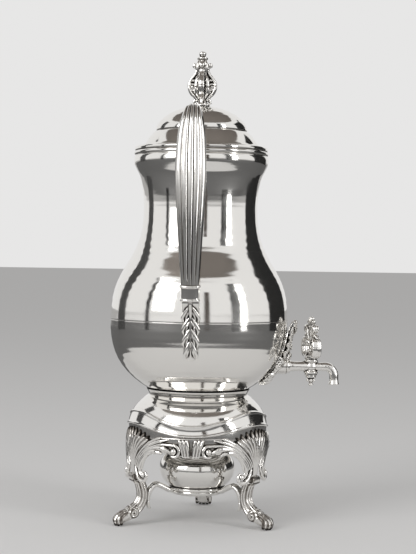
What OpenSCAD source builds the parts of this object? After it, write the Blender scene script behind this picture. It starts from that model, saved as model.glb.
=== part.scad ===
// Silver-plated coffee urn on a footed stand with a spirit burner.
// Pear-shaped spun body with two cast loop handles, a lift-off domed lid with a scroll
// finial, and a plug tap with an openwork key. The urn's foot drops into the collar of a
// round stand on three cabriole legs, which carry a ring for the burner.

/* [Urn body] */
// Radius of the belly at its widest
belly_r = 81.4; // [77:0.2:88]
// Height of the widest point above the seat in the stand
belly_rise = 76; // [70:0.5:84]
// Radius of the neck at its narrowest
neck_r = 52.1; // [48:0.1:55]
// Height of the narrowest point of the neck above the seat
neck_rise = 177; // [168:0.5:186]
// Radius of the body at the mouth
mouth_r = 59.4; // [57:0.1:62]
// Height of the mouth above the seat
mouth_rise = 229.6; // [222:0.1:240]
// Thickness of the spun wall
body_wall = 1.2; // [0.8:0.1:1.8]
// Radius where the rounded bottom meets the foot
bottom_r = 44; // [43:0.1:47]
// Height of the foot
foot_h = 11.5; // [9:0.1:14]
// Thickness of the foot ring
foot_wall = 1.6; // [1:0.1:3]
// Height of the moulded band below the mouth
rim_h = 17.5; // [14:0.1:20]
// How far the moulded band stands proud of the mouth
rim_proud = 2.3; // [1.5:0.1:3]

/* [Lid] */
// Height of the lid from its seat to the top of its dome
lid_rise = 42; // [36:0.5:50]
// Thickness of the lid's edge
lid_edge_h = 4.6; // [3.5:0.1:6]
// Radius of the lower dome where it meets the edge
lid_dome_r = 52.6; // [49:0.1:55]
// Radius of the step between the two domes
lid_step_r = 41.8; // [38:0.1:45]
// Height of the step above the lid's seat
lid_step_rise = 18.5; // [16:0.1:22]
// Thickness of the spun lid
lid_wall = 1.2; // [0.8:0.1:1.6]
// Depth of the ring that centres the lid in the mouth
bezel_h = 9; // [5:0.5:14]
// Clearance between that ring and the mouth
bezel_gap = 0.4; // [0.3:0.1:0.8]

/* [Finial] */
// Height of the finial above the dome
finial_h = 50; // [42:0.5:60]
// Radius of the finial's foot
finial_foot_r = 7; // [6:0.1:9]
// Reach of the four scrolls from the axis
scroll_reach = 13.3; // [12:0.1:15]
// Radius of the metal in the scrolls
scroll_rod_r = 1.7; // [1.3:0.1:2.1]
// Radius of the stud that holds the finial
stud_r = 2; // [1.5:0.1:2.5]

/* [Handles] */
// Height of the upper root above the narrowest part of the neck
root_rise = 14; // [8:0.5:18]
// Height of the crest above the mouth
crest_rise = 33; // [26:0.5:40]
// Distance of the crest from the urn's axis
crest_r = 83; // [80:0.5:87]
// Distance of the grip's middle line from the axis at its outermost
grip_reach = 101; // [97:0.5:108]
// Width of the grip at its widest
grip_w = 26.6; // [20:0.2:30]
// Thickness of the grip
grip_t = 9.2; // [7:0.1:11]
// Height of the grip's lower end above the seat
grip_end_rise = 109.5; // [104:0.5:114]
// Distance of the grip's lower end from the axis
grip_end_r = 95; // [93:0.5:98]
// Width of the ferrule below the grip
ferrule_w = 16; // [13:0.2:18]
// Length of the ferrule
ferrule_h = 14; // [10:0.5:18]
// Height of the leaf bracket's tip above the seat
leaf_tip_rise = 44; // [38:0.5:50]

/* [Tap] */
// Height of the tap's inlet above the seat
tap_rise = 34.5; // [31:0.5:38]
// Distance of the valve's axis from the urn's axis
valve_r = 103.3; // [100:0.1:110]
// Radius of the valve's barrel
barrel_r = 5.4; // [5:0.1:7]
// Height of the valve's barrel
barrel_h = 13; // [11:0.5:16]
// Radius of the plug that turns in the barrel
plug_r = 3.4; // [3:0.1:3.8]
// Running clearance between the plug and the barrel
plug_gap = 0.05; // [0.02:0.01:0.08]
// Radius of the inlet and the spout
pipe_r = 3.7; // [3.3:0.1:4.2]
// Radius of the waterway
waterway_r = 1.9; // [1.4:0.1:2.2]
// Distance from the valve's axis to the mouth of the spout
spout_reach = 21; // [18:0.5:26]
// Radius of the bend in the spout
spout_bend_r = 8; // [6:0.5:10]
// Drop from the waterway to the mouth of the spout
spout_drop = 16; // [14:0.5:22]
// Height of the key
key_h = 37.5; // [30:0.5:38]
// Width of the key
key_w = 35; // [30:0.5:38]
// Radius of the metal in the key's scrolls
key_rod_r = 2; // [1.5:0.1:2.4]
// Angle of the key's plane to the tap's side when the tap is shut
key_turn = 20; // [0:1:25]
// Height of the escutcheon's upper leaf above the inlet
escutcheon_up = 42; // [34:0.5:44]
// Depth of the escutcheon's lower leaf below the inlet
escutcheon_down = 16; // [12:0.5:19]
// Half width of the escutcheon
escutcheon_side = 17; // [13:0.5:20]
// Thickness of the escutcheon's leaves
escutcheon_t = 2.6; // [1.6:0.1:3]

/* [Stand] */
// Height of the seat that carries the urn
seat_z = 109; // [104:0.5:116]
// Clearance between the urn's foot and the collar
foot_gap = 0.4; // [0.3:0.1:0.8]
// Thickness of the collar
collar_wall = 1.8; // [1.2:0.1:2.4]
// Height of the collar's lip above the seat
lip_rise = 12.4; // [10:0.1:12.4]
// How far the lip flares outside the collar
lip_flare = 2; // [1:0.1:2.6]
// Width of the ledge inside the collar
ledge_w = 5; // [3:0.1:8]
// Radius of the stand's shell at its lower edge
shell_r = 63; // [60:0.2:66]
// Height of the aprons' upper edge above the table
shell_z = 83; // [80:0.2:88]
// How far the shell reaches down behind the aprons
shell_lap = 4; // [2:0.5:8]
// Thickness of the stand's shell
shell_wall = 1.3; // [1:0.1:1.8]
// Height of the reeded band
reeding_h = 10.5; // [8:0.5:11]
// Rise of the reeded band from the middle of an apron to a leg
reeding_rise = 7.7; // [4:0.1:8.5]
// Height of the aprons' lower edge above the table
apron_z = 67; // [63:0.5:71]
// Thickness of the cast aprons
apron_t = 1.6; // [1.4:0.1:3]
// Radius of the small scrolls beside each leg
volute_r = 4.6; // [3.6:0.1:5.4]
// Height of those scrolls above the table
volute_z = 48; // [45:0.5:51]

/* [Legs] */
// How far the knee's outer face stands outside the stand's shell
knee_out = 6; // [4:0.1:9]
// Height of the knee above the table
knee_z = 46; // [42:0.5:50]
// How far the ankle's middle lies inside the stand's shell
ankle_in = 6; // [3:0.1:8]
// Height of the ankle above the table
ankle_z = 28; // [24:0.5:32]
// Width of the ankle
ankle_w = 13; // [10:0.2:17]
// How far the toes reach outside the stand's shell
toe_out = 19; // [13:0.2:25]
// Width of the leg's fluted fan at its widest
fan_w = 66; // [58:0.5:70]

/* [Burner] */
// Radius of the burner's bowl at its widest
bowl_r = 34.5; // [31:0.1:36]
// Height of the bowl's widest point above the table
bowl_z = 48; // [46:0.2:52]
// Radius of the bowl's foot, which sits in the holder ring
bowl_foot_r = 22.4; // [20:0.1:24]
// Height of the bowl's lower edge above the table
bowl_foot_z = 25; // [22:0.2:27]
// Height of the bowl's top edge above the table
bowl_top_z = 61; // [59:0.2:63]
// Radius of the bowl's opening
bowl_mouth_r = 28; // [25:0.2:30]
// Thickness of the bowl
bowl_wall = 1.2; // [0.8:0.1:1.8]
// Height of the domed cover
cover_h = 4; // [3:0.1:6]
// Radius of the wick tube
wick_tube_r = 4.5; // [3.5:0.1:5.5]
// Height of the wick tube above the cover
wick_tube_h = 5; // [4:0.1:7]
// Height of the snuffer cap
snuffer_h = 10; // [9:0.1:12]
// Clearance between the bowl's foot and the holder ring
ring_gap = 0.4; // [0.3:0.1:0.8]
// Width of the holder ring
ring_w = 3.6; // [2.6:0.1:5]
// Height of the holder ring
ring_h = 5; // [4:0.1:6]
// Width of the arms that carry the ring
arm_w = 6; // [4:0.1:8]
// Thickness of the arms
arm_t = 4.2; // [2.6:0.1:4.4]

/* [Quality] */
// Facets round a full circle
facets = 64; // [48:8:96]

/* [Hidden] */
$fn = facets;

FRONT = 270;                    // azimuth of the front handle and the front apron
REAR = FRONT - 180;             // azimuth of the rear handle and the rear leg
THIRD = 120;                    // angle from one leg to the next
SOLDER = 0.06;                  // thickness of a soldered joint
ARC_STEPS = 10;                 // straight pieces in one stretch of a profile

belly_z = seat_z + belly_rise;
neck_z = seat_z + neck_rise;
mouth_z = seat_z + mouth_rise;
bottom_z = seat_z + foot_h;
foot_r = bottom_r - 1;
collar_in_r = foot_r + foot_gap;
collar_r = collar_in_r + collar_wall;
lip_r = collar_r + lip_flare;
tap_z = seat_z + tap_rise;
lid_top_z = mouth_z + lid_rise;
spout_x = valve_r + spout_reach;
flare_r = pipe_r + 1.3;         // radius of the spout's trumpet mouth
urn_x = (belly_r - spout_x - flare_r) / 2;   // centres the whole on the frame's origin

// ---- curves -------------------------------------------------------------------------

// Point at t on a cubic curve that leaves a towards b and reaches d from c
function cubic(a, b, c, d, t) =
    pow(1 - t, 3) * a + 3 * pow(1 - t, 2) * t * b + 3 * (1 - t) * t * t * c + t * t * t * d;

// Points along such a curve, without its first point
function arc_points(a, b, c, d, n = ARC_STEPS) = [for (i = [1:n]) cubic(a, b, c, d, i / n)];

// Point at t between p1 and p2 on a smooth curve through p0, p1, p2 and p3
function through(p0, p1, p2, p3, t) =
    0.5 * (2 * p1 + (p2 - p0) * t + (2 * p0 - 5 * p1 + 4 * p2 - p3) * t * t
           + (3 * p1 - p0 - 3 * p2 + p3) * t * t * t);

// A smooth curve through all the stations p, with n steps between two of them
function smooth(p, n) =
    let (last = len(p) - 1)
    [for (i = [0:last - 1]) for (k = [0:n - 1])
        through(p[max(i - 1, 0)], p[i], p[i + 1], p[min(i + 2, last)], k / n),
     p[last]];

// Direction of travel at point i of an open path in [r, z]
function heading(p, i) =
    let (a = p[max(i - 1, 0)], b = p[min(i + 1, len(p) - 1)],
         d = [b[0] - a[0], b[1] - a[1]])
    d / norm(d);

// The path moved to its left by t, kept off the far side of the axis and below top
function inset(p, t, top) =
    [for (i = [0:len(p) - 1]) let (d = heading(p, i))
        [max(p[i].x - t * d.y, 0), min(p[i].y + t * d.x, top)]];

function reversed(p) = [for (i = [len(p) - 1:-1:0]) p[i]];

// ---- profiles of revolution, as [r, z] ------------------------------------------------

BOTTOM_DOME = 8;                // depth of the rounded bottom below the foot's joint
BOTTOM_SLOPE = [cos(30), sin(30)];
FLARE_DROP = 10;                // height of the straight stretch below the mouth
body_low = arc_points([0, bottom_z - BOTTOM_DOME], [bottom_r * 0.5, bottom_z - BOTTOM_DOME],
                      [bottom_r, bottom_z] - 12 * BOTTOM_SLOPE, [bottom_r, bottom_z]);
body_belly = arc_points([bottom_r, bottom_z], [bottom_r, bottom_z] + 35 * BOTTOM_SLOPE,
                        [belly_r, belly_z - 28], [belly_r, belly_z]);
body_waist = arc_points([belly_r, belly_z], [belly_r, belly_z + 52],
                        [neck_r, neck_z - 52], [neck_r, neck_z], 14);
body_flare = arc_points([neck_r, neck_z], [neck_r, neck_z + 20],
                        [mouth_r - 2, mouth_z - FLARE_DROP - 9], [mouth_r, mouth_z - FLARE_DROP]);
body_side = concat([[bottom_r, bottom_z]], body_belly, body_waist, body_flare,
                   [[mouth_r, mouth_z]]);
body_outline = concat([[0, bottom_z - BOTTOM_DOME]], body_low, body_belly, body_waist,
                      body_flare, [[mouth_r, mouth_z]]);
body_cavity = inset(body_outline, body_wall, mouth_z);
body_table = [for (p = body_side) [p.y, p.x]];

function body_r_at(z) = lookup(z, body_table);

// Outward normal of the body's side at height z
function body_normal(z) =
    let (d = [body_r_at(z + 1) - body_r_at(z - 1), 2]) [d.y, -d.x] / norm(d);

// Point at distance off outside the body's side, from height z
function off_body(z, off) = [body_r_at(z), z] + off * body_normal(z);

SHELL_TOP_DROP = 4.6;           // from the seat up to the shell's upper edge
shell_top = [collar_r + 1.2, seat_z + SHELL_TOP_DROP];
shell_side = concat([shell_top],
                    arc_points(shell_top, shell_top + [5, -1], [shell_r, shell_z + 19],
                               [shell_r, shell_z + 6]),
                    [[shell_r, shell_z - shell_lap]]);
shell_table = [for (p = reversed(shell_side)) [p.y, p.x]];

function shell_r_at(z) = lookup(z, shell_table);

// ---- solids that several parts use ------------------------------------------------------

module on_axis() {
    translate([urn_x, 0, 0]) children();
}

module round_about(azimuth) {
    on_axis() rotate([0, 0, azimuth]) children();
}

module turned(outline) {
    rotate_extrude() polygon(outline);
}

module body_solid() {
    turned(concat(body_outline, [[0, mouth_z]]));
}

module body_hollow() {
    turned(concat(body_cavity, [[0, mouth_z]]));
}

// Quarter bend of a pipe of radius r, from the right of its centre round to the top
module quarter_bend(bend, r) {
    rotate([90, 0, 0]) rotate_extrude(angle = 90) translate([bend, 0]) circle(r);
}

// C-scroll as a flat outline: a ring open on one side, with a round eye at its end
module c_scroll(r, rod, open_at) {
    difference() {
        circle(r + rod);
        circle(r - rod);
        rotate(open_at) translate([0, -rod * 0.7]) square([r + 2 * rod, rod * 1.4]);
    }
    rotate(open_at + 35) translate([r - rod * 0.9, 0]) circle(rod * 1.35);
}

// Cast plate of thickness t standing in the XZ plane, from an outline as [across, height]
module standing_plate(t) {
    rotate([90, 0, 0]) translate([0, 0, -t / 2]) linear_extrude(height = t) children();
}

// Closed skin over rings of points; a closed skin joins its last ring to its first
module skin(rings, closed = false) {
    n = len(rings);
    m = len(rings[0]);
    ends = [for (k = [0, n - 1]) [for (a = [0:2]) mid_span(rings[k], a)]];
    points = concat([for (ring = rings) each ring], closed ? [] : ends);
    sides = [for (i = [0:n - (closed ? 1 : 2)]) for (j = [0:m - 1])
        let (a = i * m + j, b = i * m + (j + 1) % m,
             c = ((i + 1) % n) * m + j, d = ((i + 1) % n) * m + (j + 1) % m)
        each [[a, c, b], [b, c, d]]];
    caps = closed ? [] :
        [for (j = [0:m - 1]) each [[n * m, j, (j + 1) % m],
                                   [n * m + 1, (n - 1) * m + (j + 1) % m, (n - 1) * m + j]]];
    polyhedron(points, concat(sides, caps));
}

// Middle of the ring's extent along axis a
function mid_span(ring, a) = (min([for (p = ring) p[a]]) + max([for (p = ring) p[a]])) / 2;

// Section of a cast limb, as [across, out]: ribs on its show face and a plain back
function section(half_w, half_t, ribs, depth, back, under) =
    let (n = max(2 * ribs, 6))
    concat([for (k = [0:n]) let (a = 180 * k / n)
               [half_w * cos(a),
                half_t * (sin(a) + (ribs > 0 && k % 2 == 0 ? -depth * sin(a) : 0))]],
           [for (k = [1:back]) let (a = 180 + 180 * k / (back + 1))
               [half_w * cos(a), half_t * under * sin(a)]]);

BELOW = -1000;                  // lower than anything
// Cast limb along stations [r, z, half width, half thickness, share of it behind the path]; its
// show face is on the left of the path. wrapped bends every section round the urn's axis, floor_z
// flattens its sole.
module limb(stations, ribs = 3, depth = 0.35, back = 3, wrapped = false, floor_z = BELOW) {
    skin([for (i = [0:len(stations) - 1])
        let (s = stations[i], d = heading(stations, i))
        [for (q = section(s[2], s[3], ribs, depth, back, is_undef(s[4]) ? 1 : s[4]))
            let (r = s[0] - d.y * q.y, z = s[1] + d.x * q.y)
            [wrapped ? sqrt(max(r * r - q.x * q.x, 1)) : r, q.x, max(z, floor_z)]]]);
}

// ---- urn --------------------------------------------------------------------------------

// The body is spun in two halves that are soldered at the belly
seam_at = len(body_low) + len(body_belly);      // place of the widest point in the outline
rim_at = len(body_outline) - 1;

module urn_body_lower() {
    z = belly_z - SOLDER / 2;
    color("silver") on_axis() difference() {
        turned(concat([for (i = [0:seam_at - 1]) body_outline[i]],
                      [[belly_r, z], [belly_r - body_wall, z]],
                      [for (i = [seam_at - 1:-1:0]) body_cavity[i]]));
        along_x(0, belly_r, shank_r + SHANK_GAP);
    }
}

module urn_body_upper() {
    z = belly_z + SOLDER / 2;
    color("silver") on_axis()
        turned(concat([[belly_r, z]], [for (i = [seam_at + 1:rim_at]) body_outline[i]],
                      [for (i = [rim_at:-1:seam_at + 1]) body_cavity[i]],
                      [[belly_r - body_wall, z]]));
}

module urn_foot() {
    color("silver") on_axis() difference() {
        turned([[foot_r - foot_wall, seat_z], [foot_r, seat_z], [foot_r, bottom_z],
                [foot_r - foot_wall, bottom_z]]);
        body_solid();
    }
}

RIM_T = 1.6;                    // thickness of the rolled moulding
RIM_LAND = 0.5;                 // share of its height that lies against the body
module urn_rim() {
    r = mouth_r + rim_proud;
    z = mouth_z - rim_h;
    root = body_r_at(z) + SOLDER;
    bulge = z + rim_h * 0.4;
    in_r = r - RIM_T;
    color("silver") on_axis()
        turned(concat([[root, z]],
                      arc_points([root, z], [r - 1, z], [r, z + 3], [r, bulge]),
                      [[r - 0.3, mouth_z - 5.6], [r - 1.2, mouth_z - 4.2], [r - 0.4, mouth_z - 3],
                       [r - 0.3, mouth_z - 1.6], [r - 1, mouth_z - 0.7], [r - 1.2, mouth_z],
                       [mouth_r + SOLDER, mouth_z], [mouth_r + SOLDER, mouth_z - rim_h * RIM_LAND]],
                      reversed(arc_points([body_r_at(z + RIM_T) + SOLDER, z + RIM_T],
                                          [in_r - 1, z + RIM_T], [in_r, z + 3 + RIM_T],
                                          [in_r, bulge])),
                      [[body_r_at(z + RIM_T) + SOLDER, z + RIM_T]]));
}

// ---- handles ------------------------------------------------------------------------------

root_z = neck_z + root_rise;
crest_z = mouth_z + crest_rise;
SOCKET_T = 2;                   // thickness of the plate under the grip's root
root_r = body_r_at(root_z) + SOCKET_T + 2 * SOLDER;
grip_end_z = seat_z + grip_end_rise;
half_grip_w = grip_w / 2;
half_grip_t = grip_t / 2;
ferrule_run = [-2, -ferrule_h]; // from the grip's lower end to the leaf bracket

grip_root = [root_r, root_z, 6.5, half_grip_t + 1];
grip_end = [grip_end_r, grip_end_z, ferrule_w / 2, half_grip_t];
grip_stations = concat([grip_root], smooth([
    grip_root + [1.5, 0, 0, 0],
    [root_r + 8, root_z + 5, 6, half_grip_t * 0.95],
    [mouth_r + 9.4, mouth_z - 13, 5.4, half_grip_t * 0.85],
    [mouth_r + 11.4, mouth_z + 8, 5, half_grip_t * 0.8],
    [crest_r - 6, crest_z - 6, 5.2, half_grip_t * 0.8],
    [crest_r + 3, crest_z - half_grip_t, 5.6, half_grip_t * 0.85],
    [grip_reach - 5, crest_z - 15, half_grip_w * 0.6, half_grip_t * 0.9],
    [grip_reach, crest_z - 42, half_grip_w * 0.92, half_grip_t],
    [grip_reach + 0.5, mouth_z - 28, half_grip_w, half_grip_t],
    [grip_reach - 1, mouth_z - 62, half_grip_w * 0.88, half_grip_t],
    [grip_end_r + 1.8, grip_end_z + 20, half_grip_w * 0.7, half_grip_t],
    grip_end - 0.08 * [ferrule_run.x, ferrule_run.y, 0, 0]], 3), [grip_end]);

module grip(azimuth) {
    color("silver") round_about(azimuth) limb(grip_stations, ribs = 5, depth = 0.22);
}

module handle_grip_front() {
    grip(FRONT);
}

module handle_grip_rear() {
    grip(REAR);
}

// Oval plate that seats the grip's root on the curved neck
module handle_socket(azimuth) {
    color("silver") round_about(azimuth) difference() {
        intersection() {
            rotate_extrude() translate([neck_r - 4, root_z - 14])
                square([body_r_at(root_z) + SOCKET_T - neck_r + 4, 28]);
            translate([0, 0, root_z]) rotate([0, 90, 0]) cylinder(r = 9.5, h = belly_r);
        }
        body_solid();
    }
}

module handle_socket_front() {
    handle_socket(FRONT);
}

module handle_socket_rear() {
    handle_socket(REAR);
}

ferrule_top = [grip_end_r, grip_end_z - SOLDER];
module handle_ferrule(azimuth) {
    w = ferrule_w / 2;
    t = half_grip_t;
    color("silver") round_about(azimuth) limb([for (s = [[0, 1, 1], [0.02, 1.14, 1.2], [0.16, 1.14, 1.2],
                                                 [0.2, 0.98, 1], [0.86, 0.98, 0.98],
                                                 [0.9, 1.1, 1.14], [1, 1.1, 1.14]])
            [ferrule_top.x + ferrule_run.x * s[0], ferrule_top.y + ferrule_run.y * s[0],
             w * s[1], t * s[2]]],
        ribs = 0, back = 5);
}

module handle_ferrule_front() {
    handle_ferrule(FRONT);
}

module handle_ferrule_rear() {
    handle_ferrule(REAR);
}

// Leaf that carries the handle's lower end and lies down the belly to a point
LEAF_LIFT = 0.1;                // clearance of the leaf over the curved belly
leaf_top = ferrule_top + ferrule_run + [0, -SOLDER];
leaf_tip_z = seat_z + leaf_tip_rise;
LEAF_LIES_FROM = 0.68;          // share of the leaf's height that lies on the belly
LEAF_STEPS = 9;
leaf_w = [[0, 0.12], [0.1, 0.62], [0.22, 0.86], [0.5, 0.95], [LEAF_LIES_FROM, 1]];
leaf_t = [[0, 0.6], [0.1, 1.6], [0.22, 2.2], [0.5, 2.6], [LEAF_LIES_FROM, 3]];

// Station of the leaf at the share f of its height, lying on the belly
function leaf_station(f) =
    let (t = lookup(f, leaf_t),
         p = off_body(leaf_tip_z + f * (leaf_top.y - leaf_tip_z), t + LEAF_LIFT))
    [p.x, p.y, ferrule_w / 2 * lookup(f, leaf_w), t];

module handle_bracket(azimuth) {
    w = ferrule_w / 2;
    neck = leaf_top + 0.3 * ferrule_run;
    color("silver") round_about(azimuth)
        limb(concat([[leaf_top.x, leaf_top.y, w, half_grip_t]],
                    smooth([[neck.x, neck.y, w, half_grip_t * 0.92], leaf_station(0.78),
                            leaf_station(LEAF_LIES_FROM)], 2),
                    [for (k = [1:LEAF_STEPS]) leaf_station(LEAF_LIES_FROM * (1 - k / LEAF_STEPS))]),
             ribs = 3, depth = 0.4, wrapped = true);
}

module handle_bracket_front() {
    handle_bracket(FRONT);
}

module handle_bracket_rear() {
    handle_bracket(REAR);
}

// ---- tap ------------------------------------------------------------------------------------

shank_r = pipe_r;
SHANK_GAP = 0.15;               // clearance of the shank in the wall
BOSS_R = 7.5;                   // radius of the boss and of the inner saddle
boss_x = body_r_at(tap_z) + 10; // outer face of the escutcheon's boss
saddle_x = body_r_at(tap_z) - body_wall - 11;   // inner, flat face of the saddle
SEAL_T = 1.2;
NUT_T = 4;
shank_x = saddle_x - SEAL_T - NUT_T - 2;        // inner end of the threaded shank

module along_x(x0, x1, r) {
    translate([x0, 0, tap_z]) rotate([0, 90, 0]) cylinder(r = r, h = x1 - x0);
}

// Reach of the escutcheon's edge from the inlet, by the angle from the side
function leaf_reach(a) =
    let (up = max(sin(a), 0), down = max(-sin(a), 0), side = abs(cos(a)))
    (BOSS_R + 4) * (0.9 + 0.1 * cos(8 * a))
    + pow(up, 6) * (escutcheon_up - BOSS_R - 4)
    + pow(down, 4) * (escutcheon_down - BOSS_R - 4)
    + pow(side, 6) * (escutcheon_side - BOSS_R - 4);

// Point over the body at y, z across the tap's side, lifted straight off by off
function over_body(y, z, off) =
    let (r = body_r_at(z) + off / body_normal(z).x) [sqrt(r * r - y * y), y, z];

ESCUTCHEON_STEPS = 9;            // facets from the hole to the leaf's edge
ESCUTCHEON_CURL = 4.5;          // rise of the tall leaf's tip over the belly
ESCUTCHEON_LIFT = 0.16;         // keeps those facets clear of the curved belly
module tap_escutcheon() {
    hole = BOSS_R + SOLDER * 4;
    lobes = 48;
    color("silver") on_axis() skin([for (k = [0:lobes - 1])
        let (a = 360 * k / lobes, reach = leaf_reach(a), crest = escutcheon_t * (1 - 0.4 * (k % 2)),
             curl = ESCUTCHEON_CURL * pow(max(sin(a), 0), 4))
        [for (s = concat([for (k = [0:ESCUTCHEON_STEPS]) [k / ESCUTCHEON_STEPS, ESCUTCHEON_LIFT]],
                         [[1, 0.8 + curl * 0.6], [0.84, crest + curl], [0.5, crest + curl * 0.4],
                          [0.2, escutcheon_t * 1.4], [0, escutcheon_t * 2]]))
            let (d = hole + s[0] * (reach - hole))
            over_body(d * cos(a), tap_z + d * sin(a), s[1])]], closed = true);
}

// Round boss shaped to the belly, which the tap's inlet passes through
module tap_boss() {
    color("silver") on_axis() difference() {
        along_x(body_r_at(tap_z) - 8, boss_x, BOSS_R);
        body_solid();
        along_x(body_r_at(tap_z) - 9, boss_x + 1, shank_r + SHANK_GAP);
    }
}

module spout_path(r) {
    translate([valve_r, 0, tap_z]) {
        rotate([0, 90, 0]) cylinder(r = r, h = spout_reach - spout_bend_r);
        translate([spout_reach - spout_bend_r, 0, -spout_bend_r]) quarter_bend(spout_bend_r, r);
        translate([spout_reach, 0, -spout_drop]) cylinder(r = r, h = spout_drop - spout_bend_r);
    }
}

plug_bore_r = plug_r + plug_gap;
barrel_z = tap_z - barrel_h / 2;
module tap_body() {
    color("silver") on_axis() difference() {
        union() {
            along_x(shank_x, valve_r, shank_r);
            along_x(boss_x + SOLDER, boss_x + 3, BOSS_R - 1);
            translate([valve_r, 0, barrel_z]) turned_barrel();
            spout_path(pipe_r);
            translate([spout_x, 0, tap_z - spout_drop]) cylinder(r1 = flare_r, r2 = pipe_r, h = 3.5);
        }
        along_x(shank_x - 1, valve_r, waterway_r);
        translate([valve_r, 0, barrel_z - 1]) cylinder(r = plug_bore_r, h = barrel_h + 2);
        spout_path(waterway_r);
        translate([spout_x, 0, tap_z - spout_drop - 1]) cylinder(r = waterway_r, h = 3);
    }
}

module turned_barrel() {
    ring = barrel_r + 0.9;
    turned([[0, 0], [ring, 0], [ring, 1.8], [barrel_r, 2.4], [barrel_r, barrel_h - 2.4],
            [ring, barrel_h - 1.8], [ring, barrel_h], [0, barrel_h]]);
}

module tap_saddle() {
    color("goldenrod") on_axis() difference() {
        intersection() {
            along_x(saddle_x, body_r_at(tap_z), BOSS_R);
            body_hollow();
        }
        along_x(saddle_x - 1, body_r_at(tap_z) + 1, shank_r + SHANK_GAP);
    }
}

module tap_seal() {
    color("sienna") on_axis() difference() {
        along_x(saddle_x - SEAL_T, saddle_x, BOSS_R);
        along_x(saddle_x - SEAL_T - 1, saddle_x + 1, shank_r + SHANK_GAP);
    }
}

module tap_nut() {
    x = saddle_x - SEAL_T - NUT_T;
    color("goldenrod") on_axis() difference() {
        translate([x, 0, tap_z]) rotate([0, 90, 0]) cylinder(r = BOSS_R, h = NUT_T, $fn = 6);
        along_x(x - 1, x + NUT_T + 1, shank_r + SHANK_GAP / 2);
    }
}

PLUG_COLLAR = 1.4;              // height of the plug's collar on the barrel
TAIL_R = 1.8;                   // radius of the plug's threaded tail
TAIL_L = 5;                     // length of that tail below the washer
WASHER_T = 1;
ACORN_H = 10;
plug_top_z = barrel_z + barrel_h + 0.3 + PLUG_COLLAR;
washer_z = barrel_z - 0.3 - WASHER_T;
module tap_plug() {
    color("silver") on_axis() translate([valve_r, 0, 0]) difference() {
        union() {
            translate([0, 0, washer_z]) cylinder(r = plug_r, h = plug_top_z - washer_z);
            translate([0, 0, plug_top_z - PLUG_COLLAR]) cylinder(r = barrel_r + 0.4, h = PLUG_COLLAR);
            translate([0, 0, washer_z - TAIL_L]) cylinder(r = TAIL_R, h = TAIL_L + 1);
            translate([0, 0, plug_top_z - 1]) cylinder(r = TAIL_R, h = 4);
        }
        translate([0, -plug_r - 1, tap_z]) rotate([-90, 0, 0])
            cylinder(r = waterway_r, h = 2 * plug_r + 2);
    }
}

module tap_washer() {
    color("silver") on_axis() translate([valve_r, 0, washer_z - SOLDER]) difference() {
        cylinder(r = barrel_r + 0.2, h = WASHER_T);
        translate([0, 0, -1]) cylinder(r = plug_r + 0.05, h = WASHER_T + 2);
    }
}

module tap_acorn() {
    top = washer_z - 2 * SOLDER;
    color("silver") on_axis() translate([valve_r, 0, 0]) difference() {
        union() {
            translate([0, 0, top - ACORN_H]) turned(concat(
                [[0, 0]], arc_points([0, 0], [2.4, 0], [2.6, 3.2], [1.6, 3.6], 6),
                arc_points([1.6, 3.6], [3.6, 4], [3.8, 6], [2.4, 6.6], 6),
                [[4.4, 7.4], [4.6, ACORN_H], [0, ACORN_H]]));
            for (k = [0:5]) rotate([0, 0, 60 * k + 30]) translate([3.2, 0, top - 6])
                cylinder(r = 1.3, h = 2.8);
        }
        translate([0, 0, top - TAIL_L - 0.2]) cylinder(r = TAIL_R + 0.05, h = TAIL_L + 1);
    }
}

// Openwork key: two large C-scrolls that hang beside the barrel and two small ones above them,
// about a stem, under a round crest
KEY_T = 4;                      // thickness of the key's plate
module tap_key() {
    big = key_w / 4 - key_rod_r / 2;
    small = big * 0.72;
    low = big + 1;
    high = key_h - small - key_rod_r - 3;
    color("silver") on_axis() translate([valve_r, 0, plug_top_z + SOLDER]) rotate([0, 0, 90 + key_turn])
    difference() {
        union() {
            turned([[0, 0], [3.6, 0], [3.8, 1.4], [2.4, 2.6], [2, 5], [2.8, 7], [2, 9], [0, 9]]);
            standing_plate(KEY_T) union() {
                translate([-1.6, 5]) square([3.2, key_h - 7]);
                for (side = [0, 1]) mirror([side, 0]) {
                    translate([key_w / 2 - big - key_rod_r, low]) c_scroll(big, key_rod_r, 75);
                    translate([small + key_rod_r * 0.4, high]) c_scroll(small, key_rod_r * 0.8, -60);
                    translate([1, low - big * 0.5]) square([big * 0.6, key_rod_r * 1.4]);
                }
            }
            standing_plate(KEY_T + 1.4) union() {
                translate([0, key_h - 3]) circle(3);
                for (x = [-4, 4]) translate([x, key_h - 4.4]) circle(2);
            }
        }
        translate([0, 0, -1]) cylinder(r = TAIL_R + 0.05, h = 4.2);
        translate([0, 0, -big]) cylinder(r = barrel_r + 1, h = big);
    }
}

// ---- lid ------------------------------------------------------------------------------------

lid_edge_r = mouth_r + rim_proud - 0.7;
lid_step_z = mouth_z + lid_step_rise;
lid_brim_z = mouth_z + lid_edge_h;
lid_apex = [0, lid_top_z];
lid_outline = concat(
    [lid_apex],
    arc_points(lid_apex, [lid_step_r * 0.6, lid_top_z],
               [lid_step_r, lid_step_z + lid_rise * 0.25], [lid_step_r, lid_step_z + 1.2]),
    [[lid_step_r - 0.6, lid_step_z], [lid_step_r + 1.4, lid_step_z - 0.8]],
    arc_points([lid_step_r + 1.4, lid_step_z - 0.8], [lid_dome_r - 5, lid_step_z - 4.5],
               [lid_dome_r - 2, lid_brim_z + 4], [lid_dome_r, lid_brim_z + 0.8], 6),
    [[lid_dome_r + 1.6, lid_brim_z - 0.5], [lid_edge_r - 2, lid_brim_z - 0.4],
     [lid_edge_r - 0.6, lid_brim_z - 1], [lid_edge_r, lid_brim_z - 2.2],
     [lid_edge_r - 0.1, mouth_z + 0.8], [lid_edge_r - 0.8, mouth_z]]);
bezel_r = mouth_r - body_wall - bezel_gap;

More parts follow.
